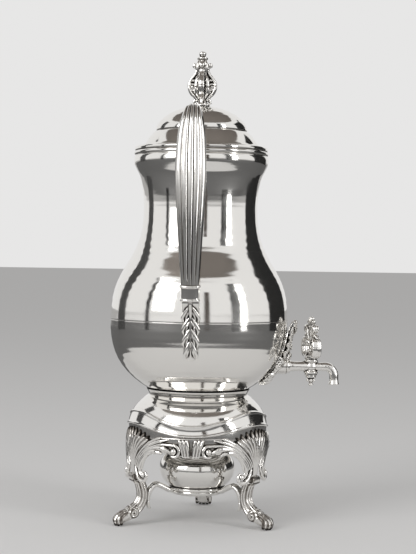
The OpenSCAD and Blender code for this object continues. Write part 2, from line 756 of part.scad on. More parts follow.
module lid_shell() {
    dome = [for (p = lid_outline) if (p.x < lid_dome_r + 1) p];
    inner = inset(reversed(dome), lid_wall, lid_top_z - lid_wall);
    color("silver") on_axis() difference() {
        turned(concat(lid_outline, [[bezel_r - lid_wall, mouth_z]],
                      [[bezel_r - lid_wall, lid_brim_z - lid_wall - 0.6]], inner));
        translate([0, 0, lid_top_z - lid_wall - 1]) cylinder(r = stud_r + 0.1, h = lid_wall + 2);
    }
}

module lid_bezel() {
    color("silver") on_axis()
        turned([[bezel_r - lid_wall, mouth_z - bezel_h], [bezel_r - 0.5, mouth_z - bezel_h],
                [bezel_r, mouth_z - bezel_h + 1], [bezel_r, mouth_z - SOLDER],
                [bezel_r - lid_wall, mouth_z - SOLDER]]);
}

// Cast finial: beaded foot, four C-scroll volutes, curled upper leaves and a knob
module lid_finial() {
    f = finial_h / 50;
    lower = scroll_reach * 0.36;
    upper = lower * 0.62;
    color("silver") on_axis() translate([0, 0, lid_top_z + SOLDER]) difference() {
        union() {
            turned([[0, 0], [finial_foot_r, 0], [finial_foot_r, 1.2], [finial_foot_r - 1.6, 2.6],
                    [4, 5 * f], [3.4, 8 * f], [4.8, 14 * f], [4.6, 22 * f], [3.4, 28 * f],
                    [4.4, 31 * f], [3, 34 * f], [3.2, 40 * f], [5, 43.5 * f], [3.8, 45 * f],
                    [2.4, 46 * f], [0, 46 * f]]);
            for (k = [0:3]) rotate([0, 0, 90 * k]) {
                standing_plate(scroll_rod_r * 2) {
                    translate([scroll_reach - lower - scroll_rod_r, 18 * f])
                        c_scroll(lower, scroll_rod_r, 200);
                    translate([scroll_reach - lower * 1.5 - scroll_rod_r, 26 * f])
                        c_scroll(upper, scroll_rod_r * 0.7, 250);
                    translate([3.4 + upper * 0.6, 37 * f]) c_scroll(upper, scroll_rod_r * 0.7, 250);
                }
                rotate([0, 0, 45]) translate([finial_foot_r - 2, 0, 2.4]) sphere(r = 1.8);
            }
            translate([0, 0, finial_h - 3.2]) sphere(r = 3.2);
        }
        translate([0, 0, -1]) cylinder(r = stud_r + 0.05, h = 9);
    }
}

// Threaded stud with a round nut under the dome
NUT_DROP = 0.5;                 // fall of the dome across the nut
module lid_finial_nut() {
    under = lid_top_z - lid_wall - NUT_DROP;
    color("goldenrod") on_axis() union() {
        translate([0, 0, under - 4]) cylinder(r = stud_r, h = lid_top_z + 6 - under + 4);
        translate([0, 0, under - 3]) cylinder(r = stud_r + 3.4, h = 3);
    }
}

// ---- stand ----------------------------------------------------------------------------------

LIP_T = 1;                      // thickness of the flared lip's edge
module stand_collar() {
    ledge_r = collar_in_r - ledge_w;
    lip_z = seat_z + lip_rise;
    color("silver") on_axis()
        turned([[ledge_r, seat_z - 1.5], [collar_r, seat_z - 1.5], [collar_r, seat_z + 3],
                [collar_r + 1.4, seat_z + SHELL_TOP_DROP + SOLDER], [collar_r + 1, seat_z + 6.6],
                [collar_r - 0.4, seat_z + 7.6], [collar_r, seat_z + 9],
                [collar_r + 0.6, lip_z - 2], [lip_r, lip_z - 0.3], [lip_r - 0.2, lip_z],
                [collar_in_r + lip_flare * 0.5, lip_z - LIP_T], [collar_in_r, lip_z - 3.4],
                [collar_in_r, seat_z], [ledge_r, seat_z]]);
}

module stand_shell() {
    inner = [for (i = [len(shell_side) - 1:-1:1]) let (d = heading(shell_side, i))
        [shell_side[i].x + shell_wall * d.y,
         max(shell_side[i].y - shell_wall * d.x, shell_z - shell_lap)]];
    color("silver") on_axis() difference() {
        turned(concat(shell_side, inner, [[collar_r + SOLDER, shell_top.y - shell_wall],
                                          [collar_r + SOLDER, shell_top.y]]));
        translate([0, 0, seat_z - 10]) cylinder(r = collar_r + SOLDER, h = 20);
        turned([[0, seat_z], [collar_r, seat_z + 3], [collar_r + 1.4 + SOLDER, shell_top.y],
                [collar_r + 1.4, shell_top.y + 4], [0, shell_top.y + 4]]);
    }
}

// Band with a reed along each edge, which dips at each apron and rises and widens to each leg
REED_SPREAD = 0.3;              // growth of the band's height from an apron to a leg
module stand_reeding() {
    steps = 60;
    reeds = [[0, 0], [1, 0], [1.6, 0.09], [0.9, 0.19], [0.5, 0.22], [0.5, 0.5], [0.5, 0.72],
             [0.9, 0.76], [1.5, 0.86], [0.8, 0.96], [0, 1],
             [0, 0.87], [0, 0.74], [0, 0.6], [0, 0.45], [0, 0.3], [0, 0.15]];
    around = 1 / cos(180 / steps);
    color("silver") on_axis() skin([for (k = [0:steps - 1])
        let (a = 360 * k / steps, lift = 0.5 - 0.5 * cos(3 * (a - FRONT)))
        [for (q = reeds)
            let (z = shell_z + 0.4 + reeding_rise * lift + q.y * reeding_h * (1 + REED_SPREAD * lift),
                 r = (shell_r_at(z) + LEAF_LIFT + q.x) * around)
            [r * cos(a), r * sin(a), z]]], closed = true);
}

// Cabriole leg: a fluted fan over the shell, a knee, an ankle and a scrolled foot
knee_r = shell_r + knee_out;
ankle_r = shell_r - ankle_in;
toe_r = shell_r + toe_out;
fan_r = shell_r + 0.2;
FAN_BACK = 0.1;                 // share of the fan's thickness that lies behind its middle
half_ankle = ankle_w / 2;
leg_stations = smooth([
    [fan_r, shell_z + 6.6, fan_w * 0.12, 0.9, FAN_BACK],
    [fan_r + 0.2, shell_z + 5.4, fan_w * 0.27, 1.6, FAN_BACK],
    [fan_r + 0.3, shell_z + 3, fan_w * 0.41, 2.1, FAN_BACK],
    [fan_r + 0.4, shell_z, fan_w * 0.49, 2.3, FAN_BACK],
    [fan_r + 0.4, shell_z - 3.5, fan_w * 0.48, 2.4, FAN_BACK],
    [fan_r + 0.4, shell_z - 7, fan_w * 0.4, 2.4, FAN_BACK],
    [fan_r + 0.2, shell_z - 12, fan_w * 0.295, 2.5, FAN_BACK],
    [fan_r - 0.3, shell_z - 18, fan_w * 0.22, 2.6, FAN_BACK * 2],
    [fan_r - 1.3, knee_z + 13, fan_w * 0.17, 2.8, 0.4],
    [fan_r - 1.8, knee_z + 6, fan_w * 0.14, 3.2, 0.7],
    [knee_r - 7.4, knee_z - 1, fan_w * 0.125, 3.9, 0.9],
    [ankle_r + 1.6, (knee_z + ankle_z) / 2 + 1, half_ankle * 1.15, 4.6, 1],
    [ankle_r, ankle_z + 2, half_ankle, 4.7, 1],
    [ankle_r + 0.8, ankle_z * 0.74, half_ankle, 5, 1],
    [toe_r - 19, ankle_z * 0.52, half_ankle * 1.1, 6, 1],
    [toe_r - 13.5, ankle_z * 0.36, half_ankle * 1.2, 6.9, 1],
    [toe_r - 8, ankle_z * 0.25, half_ankle * 1.25, 6.8, 1],
    [toe_r - 3.5, ankle_z * 0.19, half_ankle * 1.12, 5.2, 1],
    [toe_r - 0.6, ankle_z * 0.16, half_ankle * 0.75, 3.8, 1]], 3);

// Half of the gap between two fans at height z, seen square on
fan_table = reversed([for (st = leg_stations) if (st[1] > knee_z) [st[1], st[2] + 5 * SOLDER]]);
function gap_at(z) = fan_r * sin(THIRD / 2 - asin(lookup(z, fan_table) / fan_r));

apron_in_r = shell_r + SOLDER;
apron_r = apron_in_r + apron_t;
RELIEF = 1;                     // height of the ornament over the apron's face
VOLUTE_ANGLE = 43;              // from an apron's middle to the scroll beside the leg
volute_x = (apron_r - apron_t / 2) * sin(VOLUTE_ANGLE);

// Point of an apron seen square on, at shares of the way out and up from the side scroll
function apron_at(p) = [p.x * volute_x, volute_z + p.y * (shell_z - volute_z)];
mouth_share = (apron_z - volute_z) / (shell_z - volute_z);

// Upper and lower edge of the frond that leaves the ball-eyed scroll and ends at the side scroll
frond_upper = [[0.04, mouth_share], [0.033, 0.63], [0.06, 0.75], [0.155, 0.87], [0.29, 0.92],
               [0.44, 0.9], [0.62, 0.82], [0.83, 0.68], [0.985, 0.47], [1.08, 0.21], [1.09, 0.04]];
frond_lower = [[0.255, mouth_share], [0.221, 0.59], [0.219, 0.68], [0.26, 0.78], [0.34, 0.82],
               [0.43, 0.77], [0.54, 0.61], [0.7, 0.56], [0.85, 0.53], [0.96, 0.36], [1.01, 0.17]];
EYE = [0.34, 0.667];            // the ball-eyed scroll beside the middle
EYE_R = 2.8;
STRANDS = 3;
STRAND_GAP = 0.05;              // groove between strands, as a share of the frond's width

// Strip of the frond between two shares of its width
function strand(from, to) =
    let (up = smooth(frond_upper, 3), low = smooth(frond_lower, 3))
    [for (p = concat([for (i = [0:len(up) - 1]) up[i] + (low[i] - up[i]) * from],
                     [for (i = [len(up) - 1:-1:0]) up[i] + (low[i] - up[i]) * to])) apron_at(p)];

// Outline of an apron's wall, for one half
apron_edge = concat(
    [[0, shell_z + 0.2]],
    [for (p = concat([[0, mouth_share], [0.24, mouth_share], [0.3, mouth_share + 0.02],
                      [0.42, mouth_share + 0.02], [0.54, 0.55]],
                     smooth([for (i = [7:len(frond_lower) - 1]) frond_lower[i]], 3),
                     [[1.09, 0.04], [1.1, 0.2], [1.03, 0.44], [0.93, 0.68], [0.8, 0.9]])) apron_at(p)],
    [[volute_x * 0.78, shell_z + 0.2]]);

module ring_slice(r0, r1, z0, z1) {
    rotate_extrude() translate([r0, z0]) square([r1 - r0, z1 - z0]);
}

// Extrudes an outline drawn as [across, height] outwards through the apron's wall
module facing() {
    rotate([90, 0, 90]) linear_extrude(height = 2 * shell_r) children();
}

module both_sides() {
    for (side = [0, 1]) mirror([side, 0]) children();
}

module between_fans() {
    low = volute_z - 2 * volute_r;
    high = shell_z + 1;
    steps = 24;
    polygon(concat([[0, high], [0, low]],
                   [for (k = [0:steps]) let (z = low + (high - low) * k / steps) [gap_at(z), z]]));
}

module apron(azimuth) {
    color("silver") round_about(azimuth) union() {
        intersection() {
            ring_slice(apron_in_r, apron_r, 0, seat_z);
            facing() both_sides() between_fans();
            facing() both_sides() {
                polygon(apron_edge);
                translate([volute_x, volute_z]) circle(volute_r);
            }
        }
        intersection() {
            ring_slice(apron_r - 0.4, apron_r + RELIEF, 0, seat_z);
            facing() both_sides() between_fans();
            facing() both_sides() {
                for (k = [0:STRANDS - 1])
                    polygon(strand(k / STRANDS + STRAND_GAP, (k + 1) / STRANDS - STRAND_GAP));
                translate(apron_at(EYE)) circle(EYE_R);
                translate([volute_x, volute_z]) difference() {
                    circle(volute_r - 0.3);
                    circle(volute_r * 0.62);
                }
                translate([volute_x, volute_z]) circle(volute_r * 0.34);
            }
        }
    }
}

module apron_front() {
    apron(FRONT);
}

module apron_right() {
    apron(FRONT + THIRD);
}

module apron_left() {
    apron(FRONT - THIRD);
}

// Cabriole leg, with a sole that it stands on
SOLE_R = 5;                     // radius of the flat that a toe stands on
SOLE_H = 1.2;                   // height at which that flat meets the toe
KNEE_ROLL = [knee_r - 5.2, knee_z - 4.2];       // scroll that closes the fan at the knee
KNEE_ROLL_R = 4.2;
FOOT_SCROLL = [toe_r - 15, ankle_z * 0.38];     // scroll on each side of the foot
FOOT_SCROLL_R = 5;

// Round bar across the leg at [r, z]
module across_leg(at, r, w) {
    translate([at.x, 0, at.y]) rotate([90, 0, 0]) cylinder(r = r, h = w, center = true);
}

module leg(azimuth) {
    color("silver") round_about(azimuth) union() {
        limb(leg_stations, ribs = 5, depth = 0.32, back = 8, wrapped = true, floor_z = SOLE_H / 2);
        translate([toe_r - SOLE_R - 2, 0, 0]) cylinder(r = SOLE_R, h = SOLE_H);
        across_leg(KNEE_ROLL, KNEE_ROLL_R, ankle_w * 0.95);
        across_leg(KNEE_ROLL, KNEE_ROLL_R * 0.45, ankle_w * 1.15);
        across_leg(FOOT_SCROLL, FOOT_SCROLL_R, ankle_w * 1.18);
        across_leg(FOOT_SCROLL, FOOT_SCROLL_R * 0.4, ankle_w * 1.32);
        intersection() {
            ring_slice(apron_in_r, fan_r + 0.5, shell_z - shell_lap, shell_z + 1);
            facing() translate([-fan_w * 0.1, 0]) square([fan_w * 0.2, seat_z]);
        }
    }
}

module leg_rear() {
    leg(REAR);
}

module leg_left() {
    leg(REAR + THIRD);
}

module leg_right() {
    leg(REAR - THIRD);
}

// ---- burner ---------------------------------------------------------------------------------

ring_in_r = bowl_foot_r + ring_gap;
ring_r = ring_in_r + ring_w;
ring_z = bowl_foot_z + 2;
module burner_ring() {
    color("silver") on_axis()
        turned([[ring_in_r, ring_z], [ring_in_r + 1.2, ring_z - 1.4], [ring_r - 1, ring_z - 0.6],
                [ring_r - 0.4, ring_z + 1], [ring_r - 1, ring_z + 2], [ring_r, ring_z + 3],
                [ring_r, ring_z + ring_h - 0.8], [ring_r - 0.8, ring_z + ring_h],
                [ring_in_r, ring_z + ring_h]]);
}

// Strip that springs up from the ring and runs down the inside of a leg
ARM_GAP = 0.15;                 // between the arm and the leg's curved back
arm_out_r = ankle_r - 5 - arm_t / 2 - ARM_GAP;
half_arm_t = arm_t / 2;
module burner_arm(azimuth) {
    w = arm_w / 2;
    z = ring_z + ring_h / 2 + 0.5;
    root = ring_r + SOLDER;
    span = arm_out_r - root;
    color("silver") round_about(azimuth)
        limb(concat([[root, z, w, half_arm_t]],
                    smooth([[root + 1, z, w, half_arm_t],
                            [root + span * 0.2, z + 1.8, w, half_arm_t],
                            [root + span * 0.48, z + 5.8, w * 0.9, half_arm_t],
                            [root + span * 0.76, z + 3.8, w * 0.9, half_arm_t],
                            [arm_out_r - 1, z - 3, w * 0.9, half_arm_t],
                            [arm_out_r, z - 9, w * 0.8, half_arm_t * 0.9],
                            [arm_out_r - 1.4, z - 17, 0.8, 0.5]], 3)), ribs = 0, back = 3);
}

module burner_arm_rear() {
    burner_arm(REAR);
}

module burner_arm_left() {
    burner_arm(REAR + THIRD);
}

module burner_arm_right() {
    burner_arm(REAR - THIRD);
}

seat_ring_z = ring_z + ring_h;
bowl_side = concat([[bowl_foot_r, bowl_foot_z], [bowl_foot_r, seat_ring_z],
                    [ring_in_r + ring_w * 0.5, seat_ring_z]],
                   arc_points([ring_in_r + ring_w * 0.5, seat_ring_z],
                              [bowl_r - 4, seat_ring_z + 3], [bowl_r, bowl_z - 6],
                              [bowl_r, bowl_z], 8),
                   arc_points([bowl_r, bowl_z], [bowl_r, bowl_z + 6],
                              [bowl_r - 2, bowl_top_z - 3], [bowl_mouth_r, bowl_top_z], 8));

module burner_bowl() {
    inner = [for (i = [len(bowl_side) - 1:-1:3]) let (d = heading(bowl_side, i))
        [bowl_side[i].x - bowl_wall * d.y, min(bowl_side[i].y + bowl_wall * d.x, bowl_top_z)]];
    color("silver") on_axis()
        turned(concat([[0, bowl_foot_z]], bowl_side, inner,
                      [[bowl_foot_r - bowl_wall, seat_ring_z + bowl_wall],
                       [bowl_foot_r - bowl_wall, bowl_foot_z + bowl_wall],
                       [0, bowl_foot_z + bowl_wall]]));
}

cover_z = bowl_top_z + SOLDER;
COVER_SKIRT = 3;                // depth of the cover's rim inside the bowl
module burner_cover() {
    skirt = bowl_mouth_r - bowl_wall - 0.6;
    t = 1;
    top = cover_z + cover_h;
    color("silver") on_axis()
        turned(concat([[wick_tube_r + SOLDER, top]],
                      arc_points([wick_tube_r + SOLDER, top], [bowl_mouth_r * 0.6, top],
                                 [bowl_mouth_r - 3, cover_z + t], [bowl_mouth_r, cover_z + t], 8),
                      [[bowl_mouth_r, cover_z], [skirt, cover_z], [skirt, cover_z - COVER_SKIRT],
                       [skirt - t, cover_z - COVER_SKIRT], [skirt - t, cover_z]],
                      [[bowl_mouth_r * 0.5, top - t - 1], [wick_tube_r + SOLDER, top - t - 0.4]]));
}

wick_top_z = cover_z + cover_h + wick_tube_h;
module burner_wick_tube() {
    color("silver") on_axis() difference() {
        union() {
            translate([0, 0, bowl_top_z - 6]) cylinder(r = wick_tube_r, h = wick_top_z - bowl_top_z + 6);
            translate([0, 0, cover_z + cover_h + SOLDER]) cylinder(r = wick_tube_r + 1.4, h = 1);
        }
        translate([0, 0, bowl_top_z - 7]) cylinder(r = wick_tube_r - 0.8, h = wick_top_z);
    }
}

WICK_R_GAP = 0.9;               // tube wall and clearance round the wick
module burner_wick() {
    color("wheat") on_axis() translate([0, 0, bowl_foot_z + bowl_wall + 1])
        cylinder(r = wick_tube_r - WICK_R_GAP, h = wick_top_z + 1.5 - bowl_foot_z - bowl_wall - 1);
}

// Bell-shaped cap that stands over the wick
module burner_snuffer() {
    z = cover_z + cover_h + 1 + 2 * SOLDER;
    r = wick_tube_r + 0.5;
    t = 0.9;
    color("silver") on_axis() translate([0, 0, z])
        turned([[r, 0], [r + t + 0.8, 0], [r + t + 0.8, 1], [r + t, 1.6], [r + t, snuffer_h - 2.6],
                [r - 1, snuffer_h - 0.8], [1.2, snuffer_h], [1.1, snuffer_h + 0.8],
                [2.2, snuffer_h + 2], [1.6, snuffer_h + 3.4], [0, snuffer_h + 4],
                [0, snuffer_h - t], [r - 1.2, snuffer_h - t - 1], [r, snuffer_h - 3.4]]);
}

urn_body_lower();
urn_body_upper();
urn_foot();
urn_rim();
handle_grip_front();
handle_grip_rear();
handle_socket_front();
handle_socket_rear();
handle_ferrule_front();
handle_ferrule_rear();
handle_bracket_front();
handle_bracket_rear();
tap_escutcheon();
tap_boss();
tap_body();
tap_saddle();
tap_seal();
tap_nut();
tap_plug();
tap_key();
tap_washer();
tap_acorn();
lid_shell();
lid_bezel();
lid_finial();
lid_finial_nut();
stand_collar();
stand_shell();
stand_reeding();
apron_front();
apron_right();
apron_left();
leg_rear();
leg_left();
leg_right();
burner_ring();
burner_arm_rear();
burner_arm_left();
burner_arm_right();
burner_bowl();
burner_cover();
burner_wick_tube();
burner_wick();
burner_snuffer();
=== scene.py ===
import math

import bmesh
import bpy
import numpy as np
from mathutils import Matrix, Vector


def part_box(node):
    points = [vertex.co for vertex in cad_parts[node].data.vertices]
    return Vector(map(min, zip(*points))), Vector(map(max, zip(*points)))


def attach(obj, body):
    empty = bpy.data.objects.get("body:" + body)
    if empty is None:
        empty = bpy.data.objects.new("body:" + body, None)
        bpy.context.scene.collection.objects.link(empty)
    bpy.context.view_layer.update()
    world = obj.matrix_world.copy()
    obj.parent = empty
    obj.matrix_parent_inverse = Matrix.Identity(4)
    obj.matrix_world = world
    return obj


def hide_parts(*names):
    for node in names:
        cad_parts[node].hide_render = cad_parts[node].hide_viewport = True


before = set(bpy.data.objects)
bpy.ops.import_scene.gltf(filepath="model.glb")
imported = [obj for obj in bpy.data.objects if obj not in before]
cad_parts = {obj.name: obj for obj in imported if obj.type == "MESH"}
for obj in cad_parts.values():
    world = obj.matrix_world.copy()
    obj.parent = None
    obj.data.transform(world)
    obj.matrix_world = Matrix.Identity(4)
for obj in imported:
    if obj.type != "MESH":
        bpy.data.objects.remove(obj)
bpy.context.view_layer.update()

# Lengths are in millimetres, as in the CAD model, and MM turns them into Blender's metres. The stage's
# lights and sheets and the depths of the bumps are in metres.
MM = 0.001


def low(node):
    """Lowest corner of a CAD node, in mm."""
    return np.array(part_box(node)[0]) / MM


def high(node):
    """Highest corner of a CAD node, in mm."""
    return np.array(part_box(node)[1]) / MM


def middle(node):
    return (low(node) + high(node)) / 2


def half_width(node):
    return (high(node)[0] - low(node)[0]) / 2


AXIS_X = middle("urn_foot")[0]
MOUTH_Z = high("urn_body_upper")[2]
TAP_Z = middle("tap_boss")[2]
VALVE_X = middle("tap_plug")[0]
FRONT, REAR, THIRD = 270, 90, 120       # degrees round the urn from the tap, and a third of a turn


def new_object(name, data):
    """Object with its data, in the scene."""
    obj = bpy.data.objects.new(name, data)
    bpy.context.scene.collection.objects.link(obj)
    return obj


# ---- camera ----

CAMERA_AZIMUTH = 5          # degrees round the urn from its front handle towards the tap
CAMERA_DISTANCE = 1288      # from the urn's axis
CAMERA_Z = 245
FOCAL_PX = 1400             # focal length in pixels of the photograph
PHOTO_H = 554
AXIS_LEFT_PX = 8.3          # the urn's axis left of the photograph's middle
HORIZON_UP_PX = 23          # the horizon above the photograph's middle
CAMERA_ROLL = 0.8           # degrees


def make_camera():
    data = bpy.data.cameras.new("camera")
    data.sensor_fit = "VERTICAL"
    data.sensor_height = 36
    data.lens = FOCAL_PX * data.sensor_height / PHOTO_H
    data.clip_start, data.clip_end = 0.05, 60
    camera = new_object("camera", data)
    a = math.radians(CAMERA_AZIMUTH)
    place = Vector((AXIS_X + CAMERA_DISTANCE * math.sin(a), -CAMERA_DISTANCE * math.cos(a), CAMERA_Z))
    ahead = Vector((-math.sin(a), math.cos(a), 0))
    right = Vector((math.cos(a), math.sin(a), 0))
    aim = ahead + right * AXIS_LEFT_PX / FOCAL_PX - Vector((0, 0, 1)) * HORIZON_UP_PX / FOCAL_PX
    turn = aim.to_track_quat("-Z", "Y").to_matrix().to_4x4()
    roll = Matrix.Rotation(math.radians(CAMERA_ROLL), 4, "Z")
    camera.matrix_world = Matrix.Translation(place * MM) @ turn @ roll
    bpy.context.scene.camera = camera


make_camera()
bpy.context.scene.view_settings.view_transform = "Standard"


# ---- curves ----

def spline(points, steps=6):
    """Smooth curve through points of any dimension, as an array."""
    p = np.asarray(points, float)
    ends = np.vstack([2 * p[0] - p[1], p, 2 * p[-1] - p[-2]])
    out = []
    for i in range(1, len(p)):
        a, b, c, d = ends[i - 1], ends[i], ends[i + 1], ends[i + 2]
        for t in np.arange(steps) / steps:
            out.append(0.5 * (2 * b + (c - a) * t + (2 * a - 5 * b + 4 * c - d) * t**2
                              + (3 * b - a - 3 * c + d) * t**3))
    return np.vstack([out, p[-1]])


def along(values, count):
    """A list of values spread evenly over count points, smoothly."""
    values = np.atleast_1d(np.asarray(values, float))
    if len(values) == 1:
        return np.full(count, values[0])
    dense = spline(values[:, None], 8)[:, 0]
    return np.interp(np.linspace(0, 1, count), np.linspace(0, 1, len(dense)), dense)


def unit(v):
    return v / np.maximum(np.linalg.norm(v, axis=-1, keepdims=True), 1e-12)


def distance_along(path):
    """Distance from a path's start to each of its points."""
    return np.concatenate([[0], np.cumsum(np.linalg.norm(np.diff(path, axis=0), axis=1))])


def circle(count):
    """Angles spread evenly round a circle."""
    return np.linspace(0, 2 * np.pi, count, endpoint=False)


def round_z(r, a, z):
    """Points at radius r, angle a and height z."""
    return np.stack([r * np.cos(a), r * np.sin(a), z], 1)


def spoke(r, a, z):
    """Point at radius r, angle a in radians and height z."""
    return (r * math.cos(a), r * math.sin(a), z)


def upright(line, across=0.0):
    """Points [x, z] set upright in the plane y = across."""
    return np.stack([line[:, 0], np.full(len(line), across), line[:, 1]], 1)


# ---- shapes: (vertices, faces) in mm ----

def merge(shapes):
    verts, faces, start = [], [], 0
    for v, f in shapes:
        verts.append(v)
        faces += [[i + start for i in face] for face in f]
        start += len(v)
    return np.vstack(verts), faces


def loft(rings, closed=False):
    """Skin over rings of points, with a fan at each end, or joined round when closed."""
    n, m = len(rings), len(rings[0])
    verts = [np.asarray(ring, float) for ring in rings]
    faces = []
    for i in range(n if closed else n - 1):
        k = (i + 1) % n
        for j in range(m):
            l = (j + 1) % m
            faces.append([i * m + j, i * m + l, k * m + l, k * m + j])
    if not closed:
        verts += [verts[0].mean(0)[None], verts[-1].mean(0)[None]]
        faces += [[n * m, (j + 1) % m, j] for j in range(m)]
        faces += [[n * m + 1, (n - 1) * m + j, (n - 1) * m + (j + 1) % m] for j in range(m)]
    return np.vstack(verts), faces


DOME = ((0.35, math.sqrt(1 - 0.35**2)), (0.75, math.sqrt(1 - 0.75**2)))   # width and height of a dome's rings
POLE_GAP = 0.12                        # radians from a ball's pole to its first ring


def tube(path, radius, squash=1.0, lift=(0, 0, 1), sides=14):
    """Rod along path with domed ends. squash flattens it along lift."""
    path = np.asarray(path, float)
    r, flat = along(radius, len(path)), along(squash, len(path))
    ahead = unit(np.gradient(path, axis=0))
    side = unit(np.cross(ahead, np.asarray(lift, float)))
    up = np.cross(side, ahead)

    def ring(i, width=1, lead=0):
        centre = path[i] + ahead[i] * r[i] * lead * min(flat[i], 1)
        across, over = side[i], flat[i] * up[i]
        return [centre + width * r[i] * (np.cos(t) * across + np.sin(t) * over) for t in circle(sides)]

    rings = [ring(0, width, -lead) for width, lead in DOME]
    rings += [ring(i) for i in range(len(path))]
    rings += [ring(-1, width, lead) for width, lead in DOME[::-1]]
    return loft(rings)


def rod(points, radius, steps=8, **how):
    """Tube along a smooth curve through points."""
    return tube(spline(points, steps), radius, **how)


def ball(centre, r, squash=(1, 1, 1), sides=16):
    rings = []
    for t in np.linspace(POLE_GAP, np.pi - POLE_GAP, sides // 2 + 1):
        ring = round_z(np.sin(t), circle(sides), np.full(sides, np.cos(t)))
        rings.append(np.asarray(centre, float) + r * ring * np.asarray(squash, float))
    return loft(rings)


def lathe_mesh(loop, axis_ends, sides):
    """Solid of revolution about Z from [r, z] points. axis_ends: the outline starts and ends on the axis."""
    rings = [round_z(r, circle(sides), np.full(sides, z)) for r, z in loop]
    if not axis_ends:
        return loft(rings, closed=True)
    verts, faces = loft(rings[1:-1])
    verts[-2:] = [[0, 0, loop[0][1]], [0, 0, loop[-1][1]]]
    return verts, faces


def lathe(profile, sides=64):
    """Solid of revolution whose outline curves smoothly through profile."""
    return lathe_mesh(spline(profile), True, sides)


def moved(shape, by=(0, 0, 0), turn=0):
    """The shape turned about Z by degrees, then moved."""
    v, f = shape
    return v @ np.array(Matrix.Rotation(math.radians(turn), 3, "Z")).T + np.asarray(by, float), f


def mirrored(shapes):
    """The shapes and their mirror images across the middle line."""
    return shapes + [(v * (-1, 1, 1), [face[::-1] for face in f]) for v, f in shapes]


# ---- objects ----

SAME_POINT = 1e-7           # metres; vertices closer than this are joined


def solid(name, shape):
    """Object from a shape in mm, its loose ends closed up and its faces pointing outwards."""
    v, f = shape
    mesh = bpy.data.meshes.new(name)
    mesh.from_pydata((np.asarray(v) * MM).tolist(), [], f)
    mesh.validate()
    bm = bmesh.new()
    bm.from_mesh(mesh)
    bmesh.ops.remove_doubles(bm, verts=bm.verts, dist=SAME_POINT)
    bmesh.ops.recalc_face_normals(bm, faces=bm.faces)
    bm.to_mesh(mesh)
    bm.free()
    return new_object(name, mesh)


def cast(name, shapes, voxel, soften, warp=None):
    """One cast piece: the shapes are fused on a grid of voxel mm, softened, and bent into place by warp."""
    verts, faces = merge(shapes)
    obj = solid(name, (verts / MM, faces))
    remesh = obj.modifiers.new("fuse", "REMESH")
    remesh.mode = "VOXEL"
    remesh.voxel_size = voxel
    remesh.adaptivity = 0
    smooth = obj.modifiers.new("soften", "SMOOTH")
    smooth.factor = 0.5
    smooth.iterations = soften
    fused = obj.evaluated_get(bpy.context.evaluated_depsgraph_get())
    mesh = bpy.data.meshes.new_from_object(fused)
    obj.modifiers.clear()
    obj.data = mesh
    co = np.empty(len(mesh.vertices) * 3)
    mesh.vertices.foreach_get("co", co)
    co = co.reshape(-1, 3)
    if warp:
        co = warp(co)
    mesh.vertices.foreach_set("co", (co * MM).ravel())
    mesh.update()
    mark_recesses(mesh, co)
    return obj


EVENED = ((12, 0.6), (36, 0.4))     # rounds of evening out, and what each result counts for
EVEN_SHARE = 0.6                    # how far one round moves a point to its neighbours' middle


# The recess depth saved here drives the silver's painted shade and tarnish
def mark_recesses(mesh, co):
    """Saves how far each vertex lies below its surroundings, in mm, as the attribute recess."""
    n = len(co)
    normals = np.empty(n * 3)
    mesh.vertex_normals.foreach_get("vector", normals)
    pairs = np.empty(len(mesh.edges) * 2, int)
    mesh.edges.foreach_get("vertices", pairs)
    a, b = pairs.reshape(-1, 2).T
    count = np.bincount(pairs, minlength=n)[:, None]

    def around(p):
        sums = [np.bincount(a, p[b, k], n) + np.bincount(b, p[a, k], n) for k in range(3)]
        return np.stack(sums, 1) / count

    flat, recess = co, 0
    for rounds, share in EVENED:
        for _ in range(rounds):
            flat = (1 - EVEN_SHARE) * flat + EVEN_SHARE * around(flat)
        recess = recess + share * ((flat - co) * normals.reshape(-1, 3)).sum(1)
    mesh.attributes.new("recess", "FLOAT", "POINT").data.foreach_set("value", recess)


def piece(obj, body, material, slot, *nodes, crease):
    """Finishes a piece: shading that is sharp from crease degrees on (0: nowhere), material, and its
    place among the CAD bodies and nodes."""
    for poly in obj.data.polygons:
        poly.use_smooth = True
    if crease:
        obj.data.set_sharp_from_angle(angle=math.radians(crease))
    obj.data.materials.clear()
    obj.data.materials.append(material)
    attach(obj, body)
    if nodes:
        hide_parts(*nodes)


def round_urn(shape, azimuth=0):
    """A shape built about the Z axis, moved onto the urn's axis and turned to azimuth."""
    return moved(shape, (AXIS_X, 0, 0), azimuth)


def turned(azimuth):
    return Matrix.Rotation(math.radians(azimuth), 4, "Z")


def on_axis(obj, azimuth):
    """Moves an object modelled about Z, facing +X, onto the urn's axis and turns it to azimuth."""
    obj.data.transform(Matrix.Translation((AXIS_X * MM, 0, 0)) @ turned(azimuth))


def set_round(obj, azimuth, body, kind, finish, places):
    """Sets a cast piece, modelled facing +X, at azimuth, and a turned copy of it at each other place.
    places: the end of each CAD node's name and its degrees from azimuth, the piece itself first."""
    on_axis(obj, azimuth)
    first, axis = obj.data, Matrix.Translation((AXIS_X * MM, 0, 0))
    for place, turn in places:
        if turn:
            mesh = first.copy()
            mesh.transform(axis @ turned(turn) @ axis.inverted())
            obj = new_object(place, mesh)
        obj.name = "%s_%s.%s" % (kind, place, finish)
        piece(obj, body, CAST, PLATE, kind + "_" + place, crease=0)


# ---- turned pieces, read from the frame ----

KEY_STEP = 0.01             # mm; circles closer than this are one
KEY_SHIFT = 0.00137         # keeps round sizes away from the rounding's edges
LEAST_EDGES = 24            # fewest edges round the axis between two circles that belong together


